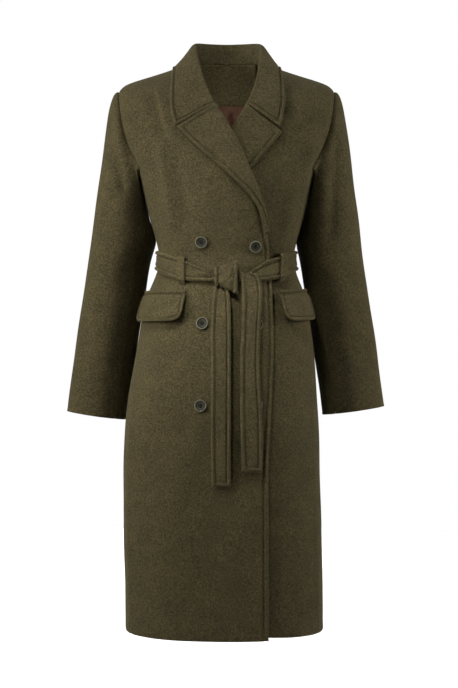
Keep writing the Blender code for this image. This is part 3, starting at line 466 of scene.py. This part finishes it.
def nearness(lines):
    points = [p for line in lines for p in dense(line)]
    tree = KDTree(len(points))
    for k, point in enumerate(points):
        tree.insert(point, k)
    tree.balance()
    return lambda place: tree.find(place)[2]


stitching = {"inset": 0.0070, "reach": 0.0125, "grooveHalf": 0.0016, "grooveDepth": 0.0019,
             "puffAt": 0.0032, "puffHalf": 0.0022, "puff": 0.0017, "fewest": 6}


def outerVerts(bm):
    return {v for f in bm.faces if f.material_index == zones["outer"] for v in f.verts}


def refineEdge(bm, away, cuts):
    # extra rows of points where the stitched groove runs
    outer = outerVerts(bm)
    distance = {v: away(v.co) for v in outer}
    crossing = []
    for edge in bm.edges:
        a, b = edge.verts
        if a in outer and b in outer and all(f.material_index == zones["outer"] for f in edge.link_faces):
            near, far = sorted((distance[a], distance[b]))
            if near < stitching["reach"] and far - near > crossingShare * edge.calc_length():
                crossing.append(edge)
    bmesh.ops.subdivide_edges(bm, edges=crossing, cuts=cuts, use_grid_fill=True)


def pressEdge(bm, away):
    # the turned edge is full, and drawn in along its row of stitches
    bm.normal_update()
    moves = []
    for vert in outerVerts(bm):
        d = away(vert.co)
        if d < stitching["reach"]:
            full = np.exp(-((d - stitching["puffAt"]) / stitching["puffHalf"]) ** 2)
            drawn = np.exp(-((d - stitching["inset"]) / stitching["grooveHalf"]) ** 2)
            rise = stitching["puff"] * full - stitching["grooveDepth"] * drawn
            moves.append((vert, vert.normal * float(rise)))
    for vert, move in moves:
        vert.co += move


stitchLines = []


def traceStitches(bm, away):
    # the line on the cloth at the stitches' distance from the edge, as chains of points with their normals
    inset = stitching["inset"]
    distance = {v: away(v.co) - inset for v in outerVerts(bm)}
    links = {}
    for face in bm.faces:
        if face.material_index != zones["outer"]:
            continue
        cut = [e for e in face.edges if distance[e.verts[0]] * distance[e.verts[1]] < 0]
        if len(cut) == 2:
            links.setdefault(cut[0], []).append(cut[1])
            links.setdefault(cut[1], []).append(cut[0])

    def placeOn(edge):
        a, b = edge.verts
        share = distance[a] / (distance[a] - distance[b])
        return a.co.lerp(b.co, share), a.normal.lerp(b.normal, share).normalized()

    seen = set()
    starts = [e for e in links if len(links[e]) == 1] + list(links)
    for start in starts:
        if start in seen:
            continue
        chain, edge = [], start
        while edge is not None:
            seen.add(edge)
            chain.append(placeOn(edge))
            edge = next((e for e in links[edge] if e not in seen), None)
        if len(chain) > stitching["fewest"]:
            stitchLines.append(chain)


def mapCloth(bm, around, turn=0.0):
    # a flat map in metres: round the body or a sleeve, or straight on for what lies on the front
    layer = bm.loops.layers.uv.new("UVMap")
    points = np.array([v.co for v in bm.verts])
    if around == "front":
        flat = points[:, (0, 2)]
    else:
        out = outwards(points, around)
        radius = wrapRadius["body" if around == "body" else "sleeve"]
        flat = np.stack([np.arctan2(out[:, 0], -out[:, 1]) * radius, points[:, 2]], axis=1)
    c, s = np.cos(radians(turn)), np.sin(radians(turn))
    flat = flat @ np.array(((c, -s), (s, c)))
    bm.verts.index_update()
    for face in bm.faces:
        for loop in face.loops:
            loop[layer].uv = flat[loop.vert.index]


def stitchedEdge(bm, sides):
    # ends of the border's short edges that lie on the sides to stitch
    onSide = nearness(sides)
    pairs = []
    for edge in borderEdges(bm):
        if all(onSide(v.co) < sideReach for v in edge.verts):
            pairs.append([v.co.copy() for v in edge.verts])
    return pairs


def letOut(bm, amount):
    # the rounded rims are let out again, so that sewn pieces meet along their seams
    bm.normal_update()
    ways = {}
    for face in bm.faces:
        if face.material_index == zones["rim"]:
            for vert in face.verts:
                ways[vert] = ways.get(vert, Vector()) + face.normal * face.calc_area()
    for vert, way in ways.items():
        vert.co += way.normalized() * amount


def makeCloth(piece):
    # "stitched" picks sides of the border by their middle points
    name, around, own = piece["name"], piece["around"], piece.get("folds", ())
    bm = weldedCopy(piece["node"])
    markZones(bm, piece["towards"])
    sides = []
    if "stitched" in piece:
        sides = [s for s in sidesOf(borderLoop(bm)) if piece["stitched"](s[len(s) // 2])]
    levels = piece.get("levels", 2)
    creaseRims(bm, levels - rimRounding)
    bm = subdivided(bm, levels, name)
    letOut(bm, piece.get("letOut", 0))
    if sides:
        pairs = stitchedEdge(bm, sides)
        refineEdge(bm, nearness(pairs), piece.get("cuts", 2))
        ends = settle(np.array([p for pair in pairs for p in pair]), around, own)
    for vert, point in zip(bm.verts, settle(np.array([v.co for v in bm.verts]), around, own)):
        vert.co = point
    if sides:
        away = nearness([[Vector(a), Vector(b)] for a, b in zip(ends[::2], ends[1::2])])
        bm.normal_update()
        traceStitches(bm, away)
        pressEdge(bm, away)
    mapCloth(bm, piece.get("map", around), piece.get("grain", 0.0))
    for face in bm.faces:
        face.smooth = True
        face.material_index = 0
    mesh = bpy.data.meshes.new(name)
    bm.to_mesh(mesh)
    bm.free()
    mesh.materials.append(piece.get("material", wool))
    made = bpy.data.objects.new(name, mesh)
    scene.collection.objects.link(made)
    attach(made, "root")
    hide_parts(piece["node"])
    print("cloth:", name, len(mesh.polygons), "faces")
    return made


# "around" is the body or the sleeve that a piece goes round, and "towards" the way its outer side faces
# "levels" is its subdivision, "cuts" the rows added at stitches, "grain" the turn of its weave in degrees
back = {"name": "backPanel", "node": "back", "around": "body", "towards": (0, 1, 0),
        "letOut": seamEase, "flat": (0.440, 1.140), "area": 0.441, "held": "hung",
        "restsOn": ["left_front", "right_front"]}
makeCloth(back)

rightFront = {"name": "rightFront", "node": "right_front", "around": "body", "towards": (0, -1, 0),
              "cuts": 3, "stitched": lambda middle: middle.x > 0.05 and -0.6 < middle.z < -0.2,
              "letOut": seamEase, "flat": (0.345, 1.170), "area": 0.292, "held": "hung",
              "restsOn": ["back"]}
leftFront = {"name": "leftFront", "node": "left_front", "around": "body", "towards": (0, -1, 0),
             "letOut": seamEase, "flat": (0.330, 1.170), "area": 0.259, "held": "hung",
             "restsOn": ["back"]}
for piece in (rightFront, leftFront):
    makeCloth(piece)

sidePanel = {"letOut": seamEase, "flat": (0.170, 0.925), "area": 0.129, "held": "hung"}
upperSleeve = {"letOut": seamEase, "flat": (0.300, 0.660), "area": 0.149, "held": "hung", "levels": 3}
underSleeve = {"letOut": seamEase, "flat": (0.140, 0.500), "area": 0.0485, "held": "hung", "levels": 3}
for side, out in (("right", -1), ("left", 1)):
    front = side + "_front"
    makeCloth({**sidePanel, "name": side + "SidePanel", "node": side + "_side_panel", "around": "body",
               "towards": (out, 0, 0), "restsOn": [front, "back"]})
    makeCloth({**upperSleeve, "name": side + "UpperSleeve", "node": side + "_upper_sleeve", "around": side,
               "towards": (out, 0, 0), "restsOn": [front, "back"]})
    makeCloth({**underSleeve, "name": side + "UnderSleeve", "node": side + "_under_sleeve", "around": side,
               "towards": (-out, 0, 0), "restsOn": [side + "_upper_sleeve"]})

collar = {"name": "foldedCollar", "node": "collar", "around": "body", "towards": (0, -0.4, 0.9),
          "levels": 3, "cuts": 1,
          "stitched": lambda middle: middle.z < 0.014 and (middle.y > 0.08 or middle.y < -0.093),
          "map": "front", "flat": (0.560, 0.115), "area": 0.0595, "held": "folded", "restsOn": ["back"]}
makeCloth(collar)

lapel = {"around": "body", "towards": (0, -1, 0), "levels": 3, "cuts": 1, "map": "front",
         "flat": (0.095, 0.280), "held": "folded"}
rightLapel = {**lapel, "name": "rightLapel", "node": "right_lapel", "grain": 28.0,
              "stitched": lambda middle: middle.y < -0.1 and middle.z > -0.29 and middle.x < 0.03,
              "area": 0.0138, "restsOn": ["right_front"]}
leftLapel = {**lapel, "name": "leftLapel", "node": "left_lapel", "grain": -28.0,
             "stitched": lambda middle: middle.z > -0.29 and middle.x > 0.01 and middle.y < -0.085,
             "folds": [(40, -76, 90, -118, 9, 4.5)], "area": 0.0152, "restsOn": ["left_front"]}
for piece in (rightLapel, leftLapel):
    makeCloth(piece)

backNeckFacing = {"name": "backNeckFacing", "node": "back_neck_facing", "around": "body",
                  "towards": (0, -0.8, -0.6), "material": paintedLighterFacingWool,
                  "flat": (0.130, 0.095), "area": 0.0122, "held": "hung", "restsOn": ["back"]}
backLining = {"name": "backLining", "node": "back_lining", "around": "body", "towards": (0, -1, 0),
              "material": lining, "levels": 4, "slot": "lining",
              "folds": [(5, -60, 7, -250, 2.6, -9.0), (11, -60, 13, -250, 3.0, 2.0),
                        (-22, -66, -14, -250, 6, -3.0), (32, -66, 30, -250, 6, -3.0)],
              "flat": (0.330, 0.270), "area": 0.0772, "held": "hung", "restsOn": ["back"]}
for piece in (backNeckFacing, backLining):
    makeCloth(piece)

# a line is drawn in below each welt, and the welt stands out
flaps = {"right": {"flat": (0.145, 0.056), "area": 0.0076, "towards": (-0.7, -0.7, 0),
                   "folds": [(-172, -441, -76, -445, 3, -2.0)]},
         "left": {"flat": (0.135, 0.056), "area": 0.0072, "towards": (0.8, -0.5, 0),
                  "folds": [(164, -435, 95, -444, 3, -2.0)]}}
weltFolds = {"right": [(-170, -435, -78, -439, 5, 3.8)], "left": [(160, -429, 97, -438, 5, 3.8)]}
for side, flap in flaps.items():
    front = side + "_front"
    makeCloth({**flap, "name": side + "PocketFlap", "node": side + "_pocket_flap", "around": "body",
               "levels": 3, "cuts": 1, "stitched": lambda middle: middle.z < -0.445,
               "held": "hung", "restsOn": [front]})
    makeCloth({"name": side + "PocketWelt", "node": side + "_pocket_welt", "around": "body", "levels": 3,
               "towards": flap["towards"], "folds": weltFolds[side],
               "flat": (0.125, 0.012), "area": 0.00095, "held": "folded", "restsOn": [front]})

belt = {"name": "waistBelt", "node": "belt", "around": "body", "towards": (0, 0.7, 0.7),
        "levels": 3, "cuts": 1, "stitched": lambda middle: middle.y > 0,
        "flat": (0.785, 0.040), "area": 0.0302, "held": "laid",
        "restsOn": ["back", "right_front", "left_front"]}
beltKnot = {"name": "beltKnot", "node": "belt_knot", "around": "body", "towards": (0, -1, 0),
            "levels": 3, "cuts": 1, "map": "front",
            "stitched": lambda middle: middle.x > 0.015 or middle.x < -0.022,
            "folds": [(-4, -404, -4, -416, 16, 4.0), (12, -384, 13, -446, 3, 0.9),
                      (7, -384, 8, -440, 2.4, -0.9), (4, -388, -20, -410, 2.6, -1.2),
                      (6, -410, -14, -432, 2.6, -1.0)],
            "flat": (0.050, 0.070), "area": 0.0026, "held": "folded", "restsOn": ["belt"]}
beltTuck = {"name": "beltTuck", "node": "belt_tuck", "around": "body", "towards": (0, -1, 0), "levels": 3,
            "map": "front", "flat": (0.034, 0.024), "area": 0.0007, "held": "folded",
            "restsOn": ["belt_knot"]}
beltEnd = {"around": "body", "towards": (0, -1, 0), "levels": 3, "cuts": 1, "map": "front",
           "stitched": lambda middle: middle.z < -0.5, "held": "hung", "restsOn": ["belt_knot"]}
beltRightEnd = {**beltEnd, "name": "beltRightEnd", "node": "belt_right_end",
                "flat": (0.037, 0.382), "area": 0.0137}
beltLeftEnd = {**beltEnd, "name": "beltLeftEnd", "node": "belt_left_end",
               "flat": (0.041, 0.385), "area": 0.0151}
for piece in (belt, beltKnot, beltTuck, beltRightEnd, beltLeftEnd):
    makeCloth(piece)

beltLoop = {"flat": (0.016, 0.072), "area": 0.00105, "held": "stretched", "levels": 3, "map": "front"}
for side, out in (("right", -0.42), ("left", 0.65)):
    makeCloth({**beltLoop, "name": side + "BeltLoop", "node": side + "_belt_loop", "around": "body",
               "towards": (out, -0.8, 0), "restsOn": ["belt"]})

# Geometry Nodes


def newTree(name, sockets):
    tree = bpy.data.node_groups.new(name, "GeometryNodeTree")
    tree.interface.new_socket("Geometry", in_out="INPUT", socket_type="NodeSocketGeometry")
    for label, kind, value in sockets:
        socket = tree.interface.new_socket(label, in_out="INPUT", socket_type=kind)
        if value is not None:
            socket.default_value = value
    tree.interface.new_socket("Geometry", in_out="OUTPUT", socket_type="NodeSocketGeometry")
    return tree, tree.nodes.new("NodeGroupInput"), tree.nodes.new("NodeGroupOutput")


def link(tree, source, output, target, socket):
    tree.links.new(source.outputs[output], target.inputs[socket])


def lyingOn(tree, rotation=None):
    # turns an instance's Z to the stored normal of the cloth
    normal = addNode(tree, "GeometryNodeInputNamedAttribute", data_type="FLOAT_VECTOR", Name="lie")
    align = addNode(tree, "FunctionNodeAlignRotationToVector", axis="Z")
    if rotation is not None:
        align.pivot_axis = "X"
        tree.links.new(rotation, align.inputs["Rotation"])
    tree.links.new(normal.outputs["Attribute"], align.inputs["Vector"])
    return align.outputs["Rotation"]


def finishTree(tree, shape, target, finish):
    whole = tree.nodes.new("GeometryNodeRealizeInstances")
    smooth = tree.nodes.new("GeometryNodeSetShadeSmooth")
    paint = tree.nodes.new("GeometryNodeSetMaterial")
    paint.inputs["Material"].default_value = finish
    tree.links.new(shape, whole.inputs["Geometry"])
    link(tree, whole, "Geometry", smooth, "Geometry")
    link(tree, smooth, "Geometry", paint, "Geometry")
    link(tree, paint, "Geometry", target, "Geometry")


def pointsObject(name, chains):
    # lines of points, each with the way up of the cloth below it
    places, ups, edges = [], [], []
    for chain in chains:
        edges += [(len(places) + k, len(places) + k + 1) for k in range(len(chain) - 1)]
        places += [tuple(place) for place, up in chain]
        ups += [tuple(up) for place, up in chain]
    mesh = bpy.data.meshes.new(name)
    mesh.from_pydata(places, edges, [])
    lie = mesh.attributes.new("lie", "FLOAT_VECTOR", "POINT")
    lie.data.foreach_set("vector", np.array(ups, np.float32).ravel())
    made = bpy.data.objects.new(name, mesh)
    scene.collection.objects.link(made)
    return made


def grown(carrier, tree, name, settings):
    # runs a tree on the carrier and keeps the result as a plain mesh
    nodes = carrier.modifiers.new("grow", "NODES")
    nodes.node_group = tree
    for item in tree.interface.items_tree:
        if item.in_out == "INPUT" and item.name in settings:
            nodes[item.identifier] = settings[item.name]
    graph = bpy.context.evaluated_depsgraph_get()
    mesh = bpy.data.meshes.new_from_object(carrier.evaluated_get(graph))
    carrier.modifiers.remove(nodes)
    bpy.data.objects.remove(carrier)
    mesh.name = name
    made = bpy.data.objects.new(name, mesh)
    scene.collection.objects.link(made)
    return made


stitchSizes = {"Pitch": 0.0036, "Length": 0.0026, "Thickness": 0.00055}


def stitchTree():
    tree, start, end = newTree("stitches", [(k, "NodeSocketFloat", v) for k, v in stitchSizes.items()])
    line = tree.nodes.new("GeometryNodeMeshToCurve")
    even = addNode(tree, "GeometryNodeResampleCurve", mode="LENGTH")
    bead = addNode(tree, "GeometryNodeMeshUVSphere", Segments=6, Rings=4, Radius=0.5)
    tangent = tree.nodes.new("GeometryNodeInputTangent")
    along = addNode(tree, "FunctionNodeAlignRotationToVector", axis="X")
    size = tree.nodes.new("ShaderNodeCombineXYZ")
    place = tree.nodes.new("GeometryNodeInstanceOnPoints")
    link(tree, start, "Geometry", line, "Mesh")
    link(tree, line, "Curve", even, "Curve")
    link(tree, start, "Pitch", even, "Length")
    link(tree, even, "Curve", place, "Points")
    link(tree, bead, "Mesh", place, "Instance")
    link(tree, tangent, "Tangent", along, "Vector")
    tree.links.new(lyingOn(tree, along.outputs["Rotation"]), place.inputs["Rotation"])
    link(tree, start, "Length", size, "X")
    link(tree, start, "Thickness", size, "Y")
    link(tree, start, "Thickness", size, "Z")
    link(tree, size, "Vector", place, "Scale")
    finishTree(tree, place.outputs["Instances"], end, thread)
    return tree


topstitching = grown(pointsObject("stitchLines", stitchLines), stitchTree(), "topstitching", stitchSizes)
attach(topstitching, "root")
print("topstitching:", len(stitchLines), "rows,", len(topstitching.data.polygons), "faces")

buttonSizes = {"radius": 0.012, "sides": 48, "holeRadius": 0.0014, "holeAt": 0.0030, "drill": 0.012,
               "threadRadius": 0.00045, "threadLow": 0.0014, "threadRise": 0.0016,
               "threadAside": (-0.7, 0.7)}  # shares of the thread's radius
# radius and height from the middle of the underside to the middle of the dished face
buttonProfile = [(0.0, 0.0), (0.0070, 0.0), (0.0100, 0.0002), (0.0114, 0.0009), (0.0119, 0.0017),
                 (0.0120, 0.0025), (0.0117, 0.0033), (0.0110, 0.0039), (0.0101, 0.0040),
                 (0.0093, 0.0036), (0.0086, 0.0029), (0.0076, 0.0025), (0.0050, 0.0023), (0.0, 0.0023)]
# radius and height along the thread between the button and the cloth
shankProfile = [(0.0, -0.0016), (0.0022, -0.0016), (0.0016, -0.0006), (0.0020, 0.0003), (0.0, 0.0003)]


def spun(bm, profile, sides):
    rings = []
    for radius, height in profile:
        if radius == 0:
            rings.append([bm.verts.new((0, 0, height))])
        else:
            turns = [2 * np.pi * k / sides for k in range(sides)]
            rings.append([bm.verts.new((radius * np.cos(t), radius * np.sin(t), height)) for t in turns])
    for low, high in zip(rings, rings[1:]):
        for k in range(sides):
            n = (k + 1) % sides
            corners = [low[k % len(low)], low[n % len(low)], high[n % len(high)], high[k % len(high)]]
            bm.faces.new(list(dict.fromkeys(corners)))
    bmesh.ops.recalc_face_normals(bm, faces=bm.faces)


def objectOf(name, bm):
    mesh = bpy.data.meshes.new(name)
    bm.to_mesh(mesh)
    bm.free()
    made = bpy.data.objects.new(name, mesh)
    scene.collection.objects.link(made)
    return made


def holePlaces():
    at = buttonSizes["holeAt"] / 2 ** 0.5
    return [(x * at, y * at) for x in (-1, 1) for y in (-1, 1)]


def drilledButton():
    bm = bmesh.new()
    spun(bm, buttonProfile, buttonSizes["sides"])
    disc = objectOf("buttonDisc", bm)
    bm = bmesh.new()
    for x, y in holePlaces():
        bmesh.ops.create_cone(bm, cap_ends=True, segments=14, radius1=buttonSizes["holeRadius"],
                              radius2=buttonSizes["holeRadius"], depth=buttonSizes["drill"],
                              matrix=Matrix.Translation((x, y, 0)))
    drill = objectOf("buttonDrill", bm)
    cut = disc.modifiers.new("holes", "BOOLEAN")
    cut.operation, cut.object, cut.solver = "DIFFERENCE", drill, "EXACT"
    graph = bpy.context.evaluated_depsgraph_get()
    mesh = bpy.data.meshes.new_from_object(disc.evaluated_get(graph))
    disc.modifiers.clear()
    disc.data = mesh
    points = np.array([v.co for v in mesh.vertices])
    share = np.linalg.norm(points[:, :2], axis=1) / buttonSizes["radius"]
    mesh.attributes.new("fromMiddle", "FLOAT", "POINT").data.foreach_set("value", share.astype(np.float32))
    bpy.data.objects.remove(drill)
    return disc


def addThread(bm, start, end, aside, steps=8, sides=6):
    # one arched bar of thread from hole to hole
    r = buttonSizes["threadRadius"]
    run = Vector((*end, 0)) - Vector((*start, 0))
    across = Vector((-run.y, run.x, 0)).normalized()
    turns = [2 * np.pi * q / sides for q in range(sides)]
    rings = []
    for k in range(steps + 1):
        share = k / steps
        height = buttonSizes["threadLow"] + buttonSizes["threadRise"] * (1 - (2 * share - 1) ** 6)
        centre = Vector((*start, height)) + run * share + across * (aside * r)
        rings.append([bm.verts.new(centre + across * (r * np.cos(q)) + Vector((0, 0, r * np.sin(q))))
                      for q in turns])
    for low, high in zip(rings, rings[1:]):
        for q in range(sides):
            n = (q + 1) % sides
            bm.faces.new((low[q], low[n], high[n], high[q]))
    bm.faces.new(rings[0][::-1])
    bm.faces.new(rings[-1])


def threadCross():
    # two pairs of bars across the holes, and the shank of thread down to the cloth
    bm = bmesh.new()
    holes = holePlaces()
    for start, end in ((holes[0], holes[3]), (holes[1], holes[2])):
        for aside in buttonSizes["threadAside"]:
            addThread(bm, start, end, aside)
    spun(bm, shankProfile, 10)
    bmesh.ops.recalc_face_normals(bm, faces=bm.faces)
    return objectOf("threadCross", bm)


def instanceTree(name, source, finish):
    tree, start, end = newTree(name, [("Size", "NodeSocketFloat", 1.0)])
    shape = tree.nodes.new("GeometryNodeObjectInfo")
    shape.inputs["Object"].default_value = source
    place = tree.nodes.new("GeometryNodeInstanceOnPoints")
    link(tree, start, "Geometry", place, "Points")
    link(tree, shape, "Geometry", place, "Instance")
    tree.links.new(lyingOn(tree), place.inputs["Rotation"])
    link(tree, start, "Size", place, "Scale")
    finishTree(tree, place.outputs["Instances"], end, finish)
    return tree


def buttonSeat(node):
    # middle of the button's underside, and the way that it faces
    points = np.array([v.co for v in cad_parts[node].data.vertices])
    middle = points.mean(axis=0)
    axis = np.linalg.svd(points - middle)[2][2]
    axis = axis if axis[1] < 0 else -axis
    under = ((points - middle) @ axis).min()
    seat = middle + axis * under
    return Vector(settle(seat[None, :], "body")[0]), Vector(axis)


buttonNodes = sorted(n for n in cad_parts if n.startswith("button_"))
seats = [[buttonSeat(node)] for node in buttonNodes]
disc, cross = drilledButton(), threadCross()
buttonTree = instanceTree("buttons", disc, resin)
threadTree = instanceTree("button thread", cross, darkThread)
buttons = grown(pointsObject("buttonSeats", seats), buttonTree, "buttons", {"Size": 1.0})
buttonThread = grown(pointsObject("threadSeats", seats), threadTree, "buttonThread", {"Size": 1.0})
for source in (disc, cross):
    bpy.data.objects.remove(source)
for made in (buttons, buttonThread):
    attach(made, "root")
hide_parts(*buttonNodes)
print("buttons:", len(buttonNodes))

# Stage, light and camera

studio = {"floor": (0.0, 1.4, -1.42), "floorRadius": 2.3, "floorColour": (0.90, 0.90, 0.89),
          "ambient": 0.015}
lamps = {
    # place, aim, size, spread in degrees, power, colour
    "key": ((-1.25, -0.72, -0.12), (0.0, 0.0, -0.45), 0.7, 180, 18.3, (1.0, 0.985, 0.95)),
    "second": ((1.38, -0.44, -0.16), (0.0, 0.0, -0.45), 0.7, 180, 12.8, (1.0, 0.985, 0.95)),
    "top": ((-0.60, -0.80, 1.10), (0.0, 0.0, -0.25), 0.6, 60, 0.6, (1.0, 0.985, 0.95)),
    "waist": ((-0.30, -0.90, 0.70), (-0.01, -0.10, -0.50), 0.25, 18, 0.24, (1.0, 0.985, 0.95)),
    "neck": ((0.0, -2.45, 0.35), (0.0, 0.0, 0.02), 0.25, 13, 0.13, (1.0, 1.0, 1.0)),
    "wash": ((0.0, 3.4, 2.4), (0.0, 3.4, -1.42), 5.8, 45, 165, (1.0, 1.0, 1.0)),
    "front wash": ((0.0, -1.7, 2.4), (0.0, -1.7, -1.42), 1.4, 30, 10, (1.0, 1.0, 1.0)),
}


def makeFloor():
    bm = bmesh.new()
    bmesh.ops.create_circle(bm, cap_ends=True, segments=96, radius=studio["floorRadius"])
    bmesh.ops.translate(bm, verts=bm.verts, vec=studio["floor"])
    made = objectOf("floor", bm)
    paint, tree, shader = newMaterial("pale floor")
    shader.inputs["Base Color"].default_value = (*studio["floorColour"], 1)
    shader.inputs["Roughness"].default_value = 0.9
    made.data.materials.append(paint)


def makeLamp(name, place, aim, size, spread, power, colour):
    data = bpy.data.lights.new(name, "AREA")
    data.size, data.spread, data.energy, data.color = size, radians(spread), power, colour
    lamp = bpy.data.objects.new(name, data)
    lamp.location = place
    lamp.rotation_euler = (Vector(aim) - Vector(place)).to_track_quat("-Z", "Y").to_euler()
    scene.collection.objects.link(lamp)


def makeWorld():
    world = bpy.data.worlds.new("studio")
    world.use_nodes = True
    tree = world.node_tree
    soft = tree.nodes["Background"]
    soft.inputs["Strength"].default_value = studio["ambient"]
    soft.inputs["Color"].default_value = (1, 1, 1, 1)
    white = addNode(tree, "ShaderNodeBackground", Strength=1.0, Color=(1, 1, 1, 1))
    seen = tree.nodes.new("ShaderNodeLightPath")
    mix = tree.nodes.new("ShaderNodeMixShader")
    tree.links.new(seen.outputs["Is Camera Ray"], mix.inputs[0])
    tree.links.new(soft.outputs[0], mix.inputs[1])
    tree.links.new(white.outputs[0], mix.inputs[2])
    tree.links.new(mix.outputs[0], tree.nodes["World Output"].inputs["Surface"])
    scene.world = world


makeFloor()
for name, lamp in lamps.items():
    makeLamp(name, *lamp)
makeWorld()
scene.view_settings.view_transform = "Standard"

camera = {"place": (0.002, -2.6, -0.538), "lens": 68.0}
view = bpy.data.cameras.new("camera")
view.lens = camera["lens"]
eye = bpy.data.objects.new("camera", view)
eye.location = camera["place"]
eye.rotation_euler = (radians(90), 0, 0)
scene.collection.objects.link(eye)
scene.camera = eye
print("stage, lamps and camera set")
